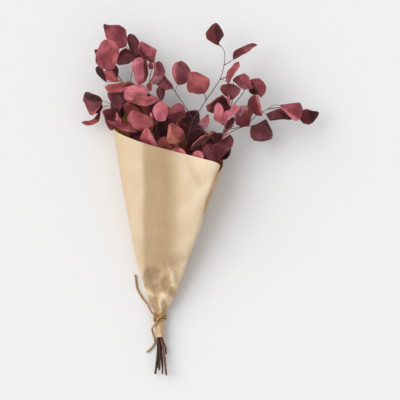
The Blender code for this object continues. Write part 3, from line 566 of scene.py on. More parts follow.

# Each spray is a woody stem cut off with secateurs, with thin twigs that fork from it. The stems run
# on inside the paper, side by side through the neck. slot: a stem's place about the neck's middle,
# in degrees, or None for the one in the middle. foot and route: its line up to the neck, and on from
# the mouth of the paper. Each leaf is base, tip, left and right edge from the axis at the EDGE_ROWS,
# roll, arch, cup, twist and colours: the main one, and for some others with where each is and how far
# out it starts. These colours are partly the leaves' dyed colour and partly painted light and shade,
# for leaves and parts of leaves turned towards or away from the light.
SPRAYS = {
    "leafy_stem_1": {
        "slot": 240, "foot": ((-74, -288, 4.5), (-73.2, -262, 6.5)),
        "route": ((-112, 60, 22), (-121, 130, 32), (-124, 180, 40), (-117, 222, 44), (-112, 240, 45)),
        "twigs": (((-121, 132, 33), (-131, 152, 47), (-132, 165, 62)),
                  ((-123, 186, 41), (-136, 203, 50), (-147, 217, 60), (-150, 221, 66)),
                  ((-114, 233, 45), (-119, 250, 50), (-127, 261, 57))),
        "leaves": (
            ((-128, 261, 59), (-166, 299, 62), (-14, -17, -14, -6), (10, 20, 18, 4),
             0, 0.14, -0.1, 10, "wine", ("maroon", "tip", 0.82)),
            ((-151, 221, 70), (-164, 272, 78), (-19, -25, -21, -10), (7, 16, 21, 16),
             0, 0.08, 0.22, 0, "wine", ("rose", "right", 0.35)),
            ((-162, 232, 48), (-183, 255, 38), (-4, -6, -4, -1), (4, 10, 10, 6), 0, 0.05, 0.1, 0, "dark"),
            ((-113, 242, 46), (-122, 283, 42), (-3, -6, -7, -6), (9, 13, 13, 8),
             0, 0.08, -0.15, 0, "dusky", ("maroon", "left", 0.5)),
            ((-112, 241, 48), (-146, 234, 50), (-3, -7, -7, -6), (12, 21, 18, 8),
             0, 0.08, 0.2, 0, "dusky", ("maroon", "right", 0.4)),
            ((-161, 200, 40), (-179, 227, 30), (-2, -4, -6, -4), (3, 7, 9, 8), 20, 0.08, 0.1, 0, "dark"),
            ((-142, 209, 56), (-146, 232, 58), (-4, -7, -9, -5), (3, 3, 3, 1), 40, 0.05, 0.1, 0, "dark"),
            ((-140, 202, 53), (-166, 219, 50), (-8, -13, -12, -4), (2, 5, 6, 4), -25, 0.1, 0.12, 0, "coral"),
            ((-110, 193, 58), (-164, 192, 50), (-3, -6, -6, -10), (10, 12, 10, 8),
             35, 0.1, 0.1, 10, "coral", ("russet", "base", 0.6)),
            ((-131, 171, 70), (-90, 183, 74), (-21, -20, -18, -15), (4, 8, 8, 7), 10, 0.1, -0.1, 0, "pink"),
            ((-126, 165, 72), (-73, 171, 84), (-7, -13, -5, -6), (3, 9, 14, 8),
             25, 0.08, 0.2, -10, "russet", ("wine", "tip", 0.5)),
            ((-146, 206, 30), (-158, 236, 20), (-7, -11, -10, -5), (7, 11, 10, 5), 5, 0.1, 0.1, 0, "dark"),
            ((-112, 228, 34), (-100, 260, 24), (-8, -12, -11, -5), (8, 12, 11, 5), 5, 0.1, 0.1, 0, "dark"),
        ),
    },
    "leafy_stem_2": {
        "slot": 180, "foot": ((-79, -298, 9), (-76, -275, 9.5), (-74.5, -255, 10.5)),
        "route": ((-122, 60, 30), (-131, 118, 40), (-139, 145, 44), (-152, 160, 47), (-161, 167, 50)),
        "twigs": (((-133, 124, 41), (-140, 136, 50), (-141, 143, 54)),),
        "leaves": (
            ((-141, 151, 42), (-160, 182, 40), (-1, -4, -4, -3), (19, 25, 26, 24),
             -10, 0.08, -0.15, 0, "dusky", ("maroon", "right", 0.3)),
            ((-168, 168, 49), (-202, 168, 36), (-12, -23, -24, -2), (8, 12, 16, 16),
             0, 0.12, 0.12, 0, "dusky", ("coral", "left", 0.7), ("dark", "right", 0.2)),
            ((-173, 153, 40), (-205, 132, 22), (-8, -15, -14, -8), (-1, -3, 1, 2),
             40, 0.12, 0.2, 0, "coral", ("maroon", "base", 0.62)),
            ((-151, 156, 57), (-153, 118, 57), (-6, -10, -11, -8), (19, 15, 11, 6),
             10, 0.1, -0.18, 0, "maroon", ("coral", "right", 0.85)),
            ((-126, 128, 66), (-160, 136, 68), (-5, -11, -12, -8), (4, 6, 5, 6), 66, 0.06, 0.1, 0, "rose"),
            ((-108, 115, 62), (-149, 127, 60), (-5, -10, -11, -6), (1, 5, 4, 1), -50, 0.08, 0.1, 0, "rose"),
            ((-136, 132, 66), (-143, 149, 70), (-7, -10, -7, -3), (1, 2, 2, 1), 55, 0.05, 0.1, 0, "pink"),
            ((-116, 103, 50), (-102, 118, 54), (-6, -9, -8, -4), (6, 9, 8, 4), 20, 0.05, 0.1, 0, "maroon"),
            ((-168, 160, 32), (-194, 158, 18), (-8, -12, -11, -5), (8, 12, 11, 5), 5, 0.1, 0.1, 0, "dark"),
            ((-136, 140, 22), (-146, 166, 24), (-6, -10, -9, -4), (6, 10, 9, 4), 8, 0.1, 0.1, 0, "dark"),
        ),
    },
    "leafy_stem_3": {
        "slot": 120, "foot": ((-72, -291, 16), (-71, -262, 16)),
        "route": ((-90, 60, 48), (-95, 110, 54), (-98, 150, 55), (-98, 178, 53), (-104, 194, 60)),
        "twigs": (((-98, 168, 54), (-90, 192, 57), (-86, 214, 57), (-80, 235, 58)),),
        "leaves": (
            ((-81, 128, 70), (-126, 141, 62), (-11, -17, -17, -11), (10, 13, 14, 15),
             4, 0.1, -0.08, 0, "wine", ("maroon", "left", 0.8)),
            ((-99, 148, 50), (-133, 160, 46), (-2, -5, -8, -5), (2, 6, 8, 7), 10, 0.05, 0.1, 0, "russet"),
            ((-87, 153, 60), (-104, 158, 66), (-5, -6, -5, -1), (3, 3, 2, 1), 20, 0.05, 0.1, 0, "russet"),
            ((-107, 196, 66), (-104, 243, 72), (-6, -9, -15, -10), (12, 16, 14, 12),
             -8, 0.1, -0.22, 0, "pink", ("maroon", "right", 0.45)),
            ((-81, 233, 58), (-102, 270, 54), (-6, -13, -15, -10), (6, 16, 9, 3),
             0, 0.1, 0.2, 0, "wine", ("maroon", "left", 0.3), ("pink", "tip", 0.85)),
            ((-83, 223, 62), (-88, 234, 62), (-7, -7, -6, -3), (3, 5, 5, 3), 40, 0.05, 0.1, 0, "coral"),
            ((-90, 197, 66), (-80, 236, 76), (0, 10, 8, -3), (7, 18, 23, 14), 76, -0.04, 0.1, 0, "coral"),
            ((-82, 196, 62), (-72, 236, 64), (-5, -4, -3, -6), (8, 13, 15, 8),
             -6, 0.12, 0.1, 0, "dusky", ("mauve", "base", 0.62)),
            ((-87, 185, 60), (-85, 205, 62), (-4, -9, -6, -2), (5, 7, 5, 2), 48, 0.05, 0.1, 0, "coral"),
            ((-112, 168, 38), (-100, 192, 28), (-8, -13, -11, -6), (8, 13, 11, 6), 5, 0.1, 0.1, 0, "dark"),
            ((-100, 140, 32), (-122, 170, 18), (-10, -16, -14, -7), (10, 16, 14, 7), 8, 0.1, 0.1, 0, "dark"),
            ((-98, 98, 44), (-122, 114, 36), (-9, -14, -12, -6), (9, 14, 12, 6), 5, 0.1, 0.1, 0, "dark"),
            ((-100, 150, 34), (-92, 184, 26), (-9, -14, -12, -6), (9, 14, 12, 6), 5, 0.1, 0.1, 0, "dark"),
        ),
    },
    "leafy_stem_4": {
        "slot": 60, "foot": ((-60, -300, 15), (-63, -270, 15), (-66, -250, 15)),
        "route": ((-34, 60, 50), (-24, 105, 58), (-17, 128, 62), (-13.5, 137, 64), (-5, 150, 66),
                  (7, 168, 68), (20, 187, 69), (32, 206, 70), (38, 228, 70), (39.5, 248, 70),
                  (35, 259, 71), (31, 263, 71)),
        "twigs": (((-14, 136, 64), (-20, 146, 65), (-34, 168, 62), (-49, 189, 59), (-68, 206, 55)),
                  ((39, 229, 70), (47, 234, 71), (54, 238, 72)),
                  ((31, 204, 70), (40, 208, 68), (46, 210, 68))),
        "leaves": (
            ((-26, 142, 68), (-59, 143, 66), (-3, -9, -11, -5), (18, 23, 20, 11),
             -6, 0.08, -0.25, 0, "wine", ("maroon", "left", 0)),
            ((-48, 189, 61), (-78, 198, 56), (-2, -7, -3, -2), (8, 14, 20, 5),
             10, 0.08, 0.1, 0, "dusky", ("coral", "right", 0.75)),
            ((-40, 195, 68), (-34, 236, 70), (-6, -12, -14, -11), (14, 19, 19, 10),
             4, 0.1, -0.16, 0, "dusky", ("rose", "left", 0.6)),
            ((5, 180, 80), (-20, 216, 84), (-7, -21, -19, -8), (15, 21, 16, 10),
             -4, 0.08, 0.08, 0, "wine", ("coral", "tip", 0.3)),
            ((31, 262, 70), (24, 301, 64), (-10, -20, -20, -10), (0, 11, 9, 5),
             6, 0.08, -0.22, 0, "maroon", ("dark", "right", 0.1)),
            ((54, 238, 72), (95, 263, 70), (-11, -15, -10, -8), (4, 9, 10, 4),
             50, 0.08, 0.15, 10, "dusky", ("maroon", "base", 0.5), ("maroon", "tip", 0.85)),
            ((45, 198, 70), (63, 235, 72), (-14, -13, -8, -7), (6, 8, 11, 12),
             58, 0.06, 0.1, 0, "coral", ("rose", "left", 0.2)),
            ((-23, 100, 44), (-13, 133, 42), (-7, -15, -18, -9), (9, 15, 20, 20),
             0, 0.08, -0.1, 0, "dark", ("dusky", "tip", 0.7)),
            ((-23, 125, 50), (-43, 132, 46), (-1, -2, -4, -4), (2, 4, 4, 2),
             10, 0.05, 0.1, 0, "maroon", ("coral", "tip", 0.8)),
            ((-18, 86, 60), (14, 107, 68), (-4, -8, -9, -7), (6, 7, 6, 3),
             40, 0.05, 0.1, 0, "dark", ("coral", "left", 0.7)),
            ((5, 120, 58), (11, 146, 58), (-4, -12, -7, -2), (4, 8, 7, 3),
             25, 0.05, 0.1, 0, "mauve", ("rose", "tip", 0.45)),
            ((4, 182, 52), (-18, 206, 42), (-9, -14, -12, -6), (9, 14, 12, 6), 5, 0.1, 0.1, 0, "dark"),
            ((-24, 100, 38), (4, 118, 34), (-10, -16, -14, -7), (10, 16, 14, 7), 5, 0.1, 0.1, 0, "dark"),
            ((-30, 120, 42), (-6, 152, 34), (-11, -17, -15, -7), (11, 17, 15, 7), 5, 0.1, 0.1, 0, "dark"),
            ((-24, 72, 32), (-2, 98, 26), (-11, -17, -15, -7), (11, 17, 15, 7), 5, 0.1, 0.1, 0, "maroon"),
        ),
    },
    "leafy_stem_5": {
        "slot": None, "foot": ((-66.5, -298, 11), (-67, -270, 11.3)),
        "route": ((-62, 20, 40), (-70, 70, 50), (-75, 107, 58), (-77, 134, 66), (-73, 158, 66),
                  (-71, 170, 60)),
        "twigs": (),
        "leaves": (
            ((-75, 134, 88), (-65, 167, 92), (-6, -12, -12, -8), (14, 14, 14, 10), 6, 0.12, 0.1, 0, "pink"),
            ((-27, 103, 72), (-55, 129, 80), (-15, -24, -23, -8), (5, 8, 9, 6),
             -8, 0.1, -0.12, 0, "coral", ("salmon", "left", 0.2), ("russet", "base", 0.75)),
            ((-87, 82, 58), (-92, 123, 80), (-7, -14, -15, -7), (16, 13, 8, 4),
             4, 0.04, 0.35, 0, "rose", ("pink", "right", 0.35)),
            ((-59, 76, 56), (-63, 108, 66), (-5, -12, -15, -10), (9, 11, 7, 3), 0, 0.06, 0.1, 0, "russet"),
            ((-37, 64, 58), (-37, 89, 67), (-4, -10, -15, -15), (4, 10, 12, 7), 4, 0.06, 0.12, 0, "pink"),
            ((-69, 168, 56), (-71, 195, 42), (-3, -6, -7, -6), (5, 8, 8, 5),
             10, 0.05, -0.2, 0, "dusky", ("dark", "right", 0.5)),
            ((-82, 137, 80), (-85, 149, 84), (-1, -4, -4, -3), (1, 2, 2, 1), 60, 0.05, 0.1, 0, "pink"),
            ((-70, 120, 40), (-44, 152, 28), (-12, -18, -16, -8), (12, 18, 16, 8), 6, 0.1, 0.1, 0, "dark"),
            ((-72, 135, 42), (-84, 170, 36), (-10, -16, -14, -7), (10, 16, 14, 7), -6, 0.1, 0.1, 0, "dark"),
            ((-53, 85, 54), (-39, 93, 60), (-3, -5, -5, -4), (1, 3, 4, 4), 10, 0.05, 0.1, 0, "coral"),
            ((-62, 82, 42), (-88, 106, 38), (-10, -16, -14, -7), (10, 16, 14, 7), 5, 0.1, 0.1, 0, "dark"),
            ((-58, 66, 46), (-34, 88, 44), (-10, -15, -13, -6), (10, 15, 13, 6), 5, 0.1, 0.1, 0, "dark"),
            ((-68, 100, 32), (-62, 136, 24), (-12, -19, -17, -8), (12, 19, 17, 8), 5, 0.1, 0.1, 0, "dark"),
            ((-54, 98, 32), (-28, 126, 26), (-11, -17, -15, -7), (11, 17, 15, 7), 5, 0.1, 0.1, 0, "maroon"),
        ),
    },
    "leafy_stem_6": {
        "slot": 300, "foot": ((-67, -284, 4.5), (-68.4, -262, 6.5)),
        "route": ((8, 40, 24), (28, 95, 34), (44, 135, 42), (52, 165, 50), (54, 190, 60), (54, 204, 72)),
        "twigs": (((50, 156, 48), (66, 176, 54), (80, 196, 60), (84, 203, 62)),
                  ((38, 118, 39), (66, 124, 36), (96, 128, 28))),
        "leaves": (
            ((53, 204, 76), (88, 190, 78), (-9, -18, -15, -2), (3, 8, 10, 4),
             6, 0.1, -0.2, 0, "dusky", ("wine", "left", 0), ("maroon", "base", 0.75)),
            ((83, 204, 62), (101, 174, 58), (-14, -17, -17, -12), (2, 3, 3, 2),
             10, 0.1, 0.12, 0, "wine", ("maroon", "right", 0.6)),
            ((45, 152, 58), (8, 160, 58), (-6, -9, -10, -9), (19, 25, 17, 5),
             6, 0.1, 0.1, 0, "dark", ("russet", "tip", 0.8), ("coral", "right", 0.8)),
            ((48, 169, 62), (47, 198, 62), (-3, -12, -17, -15), (9, 16, 19, 11),
             -6, 0.08, 0.22, 0, "dusky", ("russet", "left", 0.2)),
            ((50, 157, 66), (47, 178, 72), (-4, -9, -8, -4), (2, 4, 4, 2), 66, 0.05, 0.1, 0, "pink"),
            ((62, 138, 44), (88, 154, 36), (-7, -11, -10, -5), (7, 11, 10, 5), 5, 0.1, 0.1, 0, "dark"),
            ((92, 124, 28), (116, 108, 14), (-10, -15, -13, -6), (10, 15, 13, 6), 5, 0.1, 0.1, 0, "dark"),
            ((84, 200, 46), (98, 180, 36), (-8, -12, -11, -5), (8, 12, 11, 5), 5, 0.1, 0.1, 0, "dark"),
            ((48, 150, 36), (26, 168, 28), (-9, -14, -12, -6), (9, 14, 12, 6), 5, 0.1, 0.1, 0, "dark"),
            ((22, 84, 26), (22, 114, 18), (-9, -14, -12, -6), (9, 14, 12, 6), 5, 0.1, 0.1, 0, "dark"),
        ),
    },
    "leafy_stem_7": {
        "slot": 0, "foot": ((-60, -264, 10.5), (-62, -250, 11.5)),
        "route": ((14, 60, 44), (34, 100, 60), (46, 113, 66), (75, 127, 70), (93, 143, 70),
                  (112, 154, 66), (123, 161, 62), (131, 161, 60)),
        "twigs": (((112, 154, 66), (140, 158, 52), (160, 152, 46), (167, 147, 44)),),
        "leaves": (
            ((133, 161, 62), (169, 140, 56), (-5, -13, -21, -16), (4, 7, 10, 11),
             8, 0.1, 0.18, 0, "wine", ("pink", "right", 0.6)),
            ((164, 144, 44), (200, 149, 34), (-8, -10, -5, -3), (14, 18, 15, 7),
             -6, 0.14, 0.1, 0, "maroon", ("dark", "tip", 0.45)),
            ((110, 146, 58), (147, 143, 50), (-3, -7, -11, -5), (14, 11, 10, 8),
             20, 0.08, 0.1, 0, "dusky", ("dark", "tip", 0.7), ("dark", "right", 0.7)),
            ((84, 124, 58), (120, 105, 42), (-9, -24, -18, -11), (16, 18, 14, 6),
             6, 0.12, -0.1, 0, "dusky", ("dark", "left", 0.75), ("dark", "right", 0.8)),
            ((104, 143, 76), (89, 179, 80), (-11, -14, -18, -12), (1, 3, 5, 5),
             10, 0.1, 0.1, 0, "maroon", ("coral", "right", 0.6)),
            ((80, 126, 78), (60, 157, 80), (-13, -17, -13, -7), (8, 15, 19, 14),
             6, 0.1, -0.1, 0, "maroon", ("mauve", "tip", 0.65)),
            ((40, 127, 84), (66, 157, 90), (-7, -15, -9, -15), (0, -1, 3, 6), 30, 0.1, 0.15, 10, "pink"),
            ((39, 126, 82), (28, 165, 84), (-7, -17, -12, -8), (2, 3, 5, 4),
             -15, 0.1, -0.1, 0, "pink", ("rose", "base", 0.55)),
            ((35, 102, 70), (55, 127, 76), (-7, -11, -7, -2), (1, 2, 2, 1),
             58, 0.06, 0.1, 0, "rose", ("dark", "left", 0.1)),
            ((33, 100, 62), (14, 116, 70), (-2, -5, -6, -3), (7, 14, 7, 6),
             20, 0.08, 0.2, 0, "dark", ("coral", "tip", 0.8)),
            ((-6, 54, 56), (-5, 84, 66), (-4, -9, -11, -9), (4, 9, 10, 7), 10, 0.06, 0.1, 0, "pink"),
            ((20, 54, 46), (9, 96, 56), (-3, -9, -12, -10), (10, 16, 15, 9),
             -10, 0.06, -0.14, 0, "dusky", ("maroon", "right", 0.3)),
            ((28, 66, 52), (49, 111, 54), (-7, -21, -11, -4), (3, 8, 13, 10),
             8, 0.06, 0.12, 0, "maroon", ("dusky", "tip", 0.5)),
            ((134, 154, 42), (162, 142, 32), (-8, -13, -11, -6), (8, 13, 11, 6), 5, 0.1, 0.1, 0, "dark"),
            ((40, 120, 66), (55, 141, 70), (-2, -4, -4, -3), (3, 6, 8, 5), 20, 0.05, -0.1, 0, "maroon"),
            ((103, 148, 80), (95, 178, 84), (0, -2, -5, -3), (0, 1, 1, 1), 30, 0.02, 0.1, 0, "coral"),
            ((24, 74, 42), (50, 92, 38), (-10, -15, -13, -6), (10, 15, 13, 6), 5, 0.1, 0.1, 0, "dark"),
            ((0, 62, 40), (22, 82, 36), (-9, -14, -12, -6), (9, 14, 12, 6), 5, 0.1, 0.1, 0, "dark"),
        ),
    },
}

SLOT_RADIUS = 3.75
EDGE_ROWS = (0.14, 0.38, 0.64, 0.88)
# For each spray, the radius at its cut end and the wood's colour there
FEET = {"leafy_stem_1": (1.3, (0.13, 0.045, 0.02)), "leafy_stem_2": (1.9, (0.05, 0.02, 0.012)),
        "leafy_stem_3": (1.65, (0.04, 0.014, 0.01)), "leafy_stem_4": (1.75, (0.15, 0.05, 0.025)),
        "leafy_stem_5": (1.3, (0.02, 0.01, 0.008)), "leafy_stem_6": (1.6, (0.05, 0.02, 0.012)),
        "leafy_stem_7": (1.5, (0.10, 0.035, 0.02))}
TWIG_COLOUR, STALK_COLOUR, CUT_WOOD = (0.075, 0.022, 0.026), (0.13, 0.03, 0.035), (0.42, 0.24, 0.11)


def edge_at(edge, t):
    """How far a leaf's edge lies from its axis at t."""
    rows = ((0, 0), (0.025, edge[0] * 0.4), *zip(EDGE_ROWS, edge), (0.975, edge[-1] * 0.45), (1, 0))
    return sum(between(rows, t + shift) for shift in (-0.03, 0, 0.03)) / 3 if 0 < t < 1 else 0.0


def leaf_curl(leaf):
    """A leaf's own small waves, drawn from its place, the same on each run."""
    draw = random.Random(round(leaf[0][0] * 31 + leaf[0][1] * 7 + leaf[0][2]))
    return [draw.random() for _ in range(8)]


def blade_point(leaf, across, t, curl=None):
    """The middle of a blade's thickness, across from -1 to 1 and t from its base to its tip."""
    base, tip, left, right, roll, arch, cup, twist = leaf[:8]
    base, tip = Vector(base), Vector(tip)
    length = (tip - base).length
    along = (tip - base) / length
    up = (Vector((0, 0, 1)) - along * along.z).normalized()
    side = along.cross(up)
    turn = math.radians(roll + twist * (t - 0.5))
    side, up = side * math.cos(turn) + up * math.sin(turn), up * math.cos(turn) - side * math.sin(turn)
    low, high = edge_at(left, t), edge_at(right, t)
    reach = (high - low) / 2
    lift = length * arch * (1 - (2 * t - 1) ** 2) + cup * math.hypot(across, 0.05) * reach
    if curl:
        wave = math.sin(6.3 * (1.1 * t + curl[2])) * across * abs(across)
        wave += 0.5 * math.sin(6.3 * (1.9 * t + curl[3]) + 2 * across) * across ** 2
        lean = 6.3 * curl[4]
        fold = (t - 0.5 + 0.25 * (curl[5] - 0.5)) * math.cos(lean) + 0.5 * across * math.sin(lean)
        crisp = 0.26 * (math.hypot(fold, 0.02) - 0.2) * (1 if curl[6] > 0.4 else -1)
        rim = 0.6 * (curl[7] - 0.6) * max(0.0, across ** 2 + (2 * t - 1) ** 4 - 0.7)
        lift += 2 * reach * (0.08 * wave + crisp + 0.16 * rim)
    return base + along * length * t + side * ((low + high) / 2 + across * reach) + up * lift


def stalk_route(leaf, lines):
    """From the nearest stem or twig, a little back towards its root, to the blade's base."""
    base = blade_point(leaf, 0, 0)
    near = min(((point - base).length, line, i) for line, points in enumerate(lines)
               for i, point in enumerate(points))
    distance, points, index = near[0], lines[near[1]], near[2]
    back = 0.0
    while index > 0 and back < 0.6 * distance:
        back += (points[index] - points[index - 1]).length
        index -= 1
    root = points[index]
    if distance < 2:
        return [root, base]
    ahead = (points[min(index + 1, len(points) - 1)] - points[max(index - 1, 0)]).normalized()
    bend = root + ahead * 0.45 * (base - root).length
    return [(1 - t) ** 2 * root + 2 * t * (1 - t) * bend + t ** 2 * base
            for t in (0, 0.12, 0.25, 0.4, 0.55, 0.7, 0.85, 1)]


def stem_route(spray):
    at = NECK if spray["slot"] is None else about_neck(spray["slot"], SLOT_RADIUS, 0)
    in_neck = [(at.x, y, at.z) for y in (-236, -215, -188)]
    return smooth_route([*spray["foot"], *in_neck, *spray["route"]], 3)


def knotted(route, start, end, seed):
    """Radii along a woody run, tapering, with a thicker node every few centimetres, and its line a
    little bent at each."""
    draw = random.Random(seed)
    widths, places, to_node, away = [], [], draw.uniform(4, 20), 0.0
    for i, place in enumerate(route):
        if i:
            away += (place - route[i - 1]).length
        if away > to_node:
            to_node, away = draw.uniform(17, 34), 0.0
        share = i / (len(route) - 1)
        near = min(away, to_node - away)
        widths.append((start + (end - start) * share) * (1 + 0.22 * math.exp(-(near / 1.8) ** 2)))
        spot = place * 0.035 + Vector((seed, 0, 0))
        drift = Vector((noise.noise(spot), 0, noise.noise(spot + Vector((0, 50, 0))))) * 0.55
        places.append(place + drift * math.sin(math.pi * share))
    return places, widths


bark = new_material("dyed bark", 0.35)
add = adder(bark.node_tree)
where = add("TexCoord", out=3)
stretched = add("Mapping", {"Vector": where, "Scale": (1500, 260, 1500)})
streaks = add("TexNoise", {"Vector": stretched, "Scale": 1.0, "Detail": 4, "Roughness": 0.65})
spots = add("TexNoise", {"Vector": where, "Scale": 700.0, "Detail": 2})
own = add("Attribute", attribute_name="dye_and_shade", out=0)
tone = mixed(add, rising(add, streaks, 0.4, 0.75, 0.0, 0.6), own, (2.2, 1.9, 1.8), "MULTIPLY")
tone = mixed(add, rising(add, streaks, 0.45, 0.25, 0.0, 0.7), tone, (0.35, 0.3, 0.3), "MULTIPLY")
tone = mixed(add, rising(add, spots, 0.6, 0.75, 0.0, 0.3), tone, (0.24, 0.13, 0.09))
finish_material(bark, tone, rising(add, streaks, 0.3, 0.7, 0.42, 0.68), streaks, 0.0004)

cut_wood = new_material("cut wood", 0.2)
add = adder(cut_wood.node_tree)
pith = add("TexNoise", {"Vector": add("TexCoord", out=3), "Scale": 1500.0, "Detail": 3})
tone = mixed(add, rising(add, pith, 0.35, 0.7), CUT_WOOD, (0.16, 0.08, 0.04))
finish_material(cut_wood, tone, 0.8, pith, 0.0003)

for name, spray in SPRAYS.items():
    seed = int(name[-1])
    radius, foot_colour = FEET[name]
    lines = [smooth_route(spray["route"], 5)]
    wood = new_curve(name + "_wood", 1, 3)
    stem = stem_route(spray)
    places, widths = knotted(stem, radius, 0.55, seed)
    mouth = min(range(len(stem)), key=lambda i: (stem[i] - Vector(spray["route"][0])).length)
    for i in range(len(widths)):
        widths[i] *= 1 if i < mouth * 0.5 else 0.86
    add_run(wood, places, widths)
    for twig in spray["twigs"]:
        lines.append(smooth_route(twig, 5))
        add_run(wood, *knotted(smooth_route(twig, 3), 0.72, 0.5, seed + len(lines)))
    thin = new_curve(name + "_stalks", 1, 1)
    for leaf in spray["leaves"]:
        curl = leaf_curl(leaf)
        stalk = stalk_route(leaf, lines)
        rib = [blade_point(leaf, 0, t, curl) for t in (0.03, 0.08, 0.16, 0.26, 0.38, 0.5, 0.62, 0.74, 0.86)]
        widths = [0.52] + [0.4] * (len(stalk) - 1) + [0.4, 0.38, 0.35, 0.32, 0.29, 0.26, 0.23, 0.2, 0.12]
        add_run(thin, stalk + rib, widths)
    woody, stalks = as_mesh(wood), as_mesh(thin)

    select_only(woody)
    bpy.ops.object.mode_set(mode="EDIT")
    bpy.ops.mesh.select_all(action="SELECT")
    low = Vector(spray["foot"][0])
    bpy.ops.mesh.bisect(plane_co=put(low + Vector((0, 1.6, 0))), use_fill=True, clear_inner=True,
                        plane_no=Vector((0.5 * (-1) ** seed, 1, 0.35)).normalized())
    bpy.ops.object.mode_set(mode="OBJECT")

    for part in (woody, stalks):
        dye_and_shade = part.data.attributes.new("dye_and_shade", "FLOAT_COLOR", "POINT")
        for vertex in part.data.vertices:
            up = held((vertex.co.y / MM + 215) / 60)
            colour = Vector(foot_colour).lerp(Vector(TWIG_COLOUR), up) if part == woody else STALK_COLOUR
            dye_and_shade.data[vertex.index].color = (*colour, 1)
        part.data.materials.clear()
        part.data.materials.append(bark)
    woody.data.materials.append(cut_wood)
    for face in woody.data.polygons:
        if len(face.vertices) > 4:
            face.material_index = 1
    branch = joined(name + "_branch", [stalks, woody])
    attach(branch, "root")
    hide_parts(name)

# The leaves are thin, round to heart-shaped, preserved and dyed from dark plum to coral. Each has
# dried with waves and a fold of its own. They are one blade, copied and bent to each leaf's place.
LEAF_THICKNESS = 0.35
LEAF_COLUMNS, LEAF_LINES = 18, 22
PALE_UNDERSIDE = (0.50, 0.20, 0.19)
# The leaf colours, by the names that a leaf's row gives: dyes, with the darker ones partly painted shade.
DYES_AND_PAINTED_SHADE = {"dark": (0.05, 0.008, 0.010), "dusky": (0.185, 0.046, 0.055), "rose": (0.42, 0.092, 0.105),
        "pink": (0.54, 0.145, 0.175), "coral": (0.40, 0.09, 0.088), "mauve": (0.40, 0.17, 0.20),
        "maroon": (0.115, 0.016, 0.02), "russet": (0.23, 0.052, 0.042),
        "salmon": (0.52, 0.17, 0.12), "wine": (0.30, 0.064, 0.078)}

blade_tones = bpy.data.node_groups.new("dyed blade", "ShaderNodeTree")
for socket, kind in (("Rim", "NodeSocketColor"), ("Rim share", "NodeSocketFloat"),
                     ("Paleness", "NodeSocketFloat"), ("Vein share", "NodeSocketFloat")):
    blade_tones.interface.new_socket(socket, in_out="INPUT", socket_type=kind)
for socket, kind in (("Color", "NodeSocketColor"), ("Roughness", "NodeSocketFloat"),
                     ("Height", "NodeSocketFloat")):
    blade_tones.interface.new_socket(socket, in_out="OUTPUT", socket_type=kind)
add = adder(blade_tones)
given = blade_tones.nodes.new("NodeGroupInput").outputs
# Each leaf's colour, partly dyed and partly painted light and shade.
dye_and_shade = add("Attribute", attribute_name="dye_and_shade", out=0)
form = add("SeparateXYZ", {0: add("Attribute", attribute_name="form", out=1)}).node.outputs
flat = add("UVMap", uv_map="flat")
outer = math_node(add, "ABSOLUTE", form[0])
clouds = add("TexNoise", {"Vector": flat, "Scale": 5.0, "Detail": 3, "Roughness": 0.5})
mottle = add("TexNoise", {"Vector": flat, "Scale": 45.0, "Detail": 4, "Roughness": 0.6})
net = add("TexVoronoi", {"Vector": flat, "Scale": 90.0}, feature="DISTANCE_TO_EDGE")
# Side veins leave the midrib and bend towards the tip
bent = math_node(add, "MULTIPLY_ADD", outer, -0.30, form[1])
bent = math_node(add, "MULTIPLY_ADD", mottle, 0.03, bent)
step = math_node(add, "PINGPONG", bent, 0.062)
side_vein = rising(add, step, 0.012, 0.0)
side_vein = math_node(add, "MULTIPLY", side_vein, rising(add, outer, 0.97, 0.6))
midrib = rising(add, outer, 0.05, 0.012)
veins = math_node(add, "MAXIMUM", side_vein, midrib)
rim = math_node(add, "MAXIMUM", rising(add, outer, 0.72, 1.0), rising(add, form[1], 0.8, 1.0))
rim = math_node(add, "MULTIPLY", rim, rising(add, clouds, 0.3, 0.6, 0.35, 1.0))
light = mixed(add, 1.0, dye_and_shade, (1.3, 1.4, 1.38), "MULTIPLY")
deep = mixed(add, 1.0, dye_and_shade, (0.72, 0.58, 0.62), "MULTIPLY")
tone = mixed(add, rising(add, clouds, 0.35, 0.68), deep, light)
tone = mixed(add, rising(add, mottle, 0.45, 0.75, 0.0, 0.2), tone, light)
tone = mixed(add, math_node(add, "MULTIPLY", rim, given["Rim share"]), tone, given["Rim"])
tone = mixed(add, given["Paleness"], tone, PALE_UNDERSIDE)
tone = mixed(add, math_node(add, "MULTIPLY", veins, given["Vein share"]), tone, deep)
relief = math_node(add, "MULTIPLY", rising(add, net, 0.0, 0.2), 0.3)
relief = math_node(add, "MULTIPLY_ADD", veins, -0.8, relief)
relief = math_node(add, "MULTIPLY_ADD", mottle, 0.5, relief)
end = blade_tones.nodes.new("NodeGroupOutput")
blade_tones.links.new(tone, end.inputs["Color"])
blade_tones.links.new(rising(add, mottle, 0.3, 0.7, 0.42, 0.62), end.inputs["Roughness"])
blade_tones.links.new(relief, end.inputs["Height"])

upper, under = new_material("dyed leaf upper face", 0.22), new_material("dyed leaf underside", 0.3)
for material, rim_colour, shares in ((upper, (0.42, 0.12, 0.11), (0.28, 0.0, 0.16)),
                                     (under, (0.5, 0.2, 0.18), (0.3, 0.22, 0.3))):
    made = material.node_tree.nodes.new("ShaderNodeGroup")
    made.node_tree = blade_tones
    made.inputs["Rim"].default_value = (*rim_colour, 1)
    for socket, share in zip(("Rim share", "Paleness", "Vein share"), shares):
        made.inputs[socket].default_value = share
    finish_material(material, *(made.outputs[k] for k in ("Color", "Roughness", "Height")), 0.0004)

bpy.ops.object.select_all(action="DESELECT")
bpy.ops.mesh.primitive_grid_add(x_subdivisions=LEAF_COLUMNS, y_subdivisions=LEAF_LINES, size=2)
blade = bpy.context.object
blade.name = "blade"
blade.data.attributes.new("form", "FLOAT_VECTOR", "POINT")
for vertex, kept in zip(blade.data.vertices, blade.data.attributes["form"].data):
    row = (vertex.co.y + 1) / 2
    t = 0.45 * row + 0.55 * (0.5 - 0.5 * math.cos(math.pi * row))
    kept.vector = (vertex.co.x, t, 0)


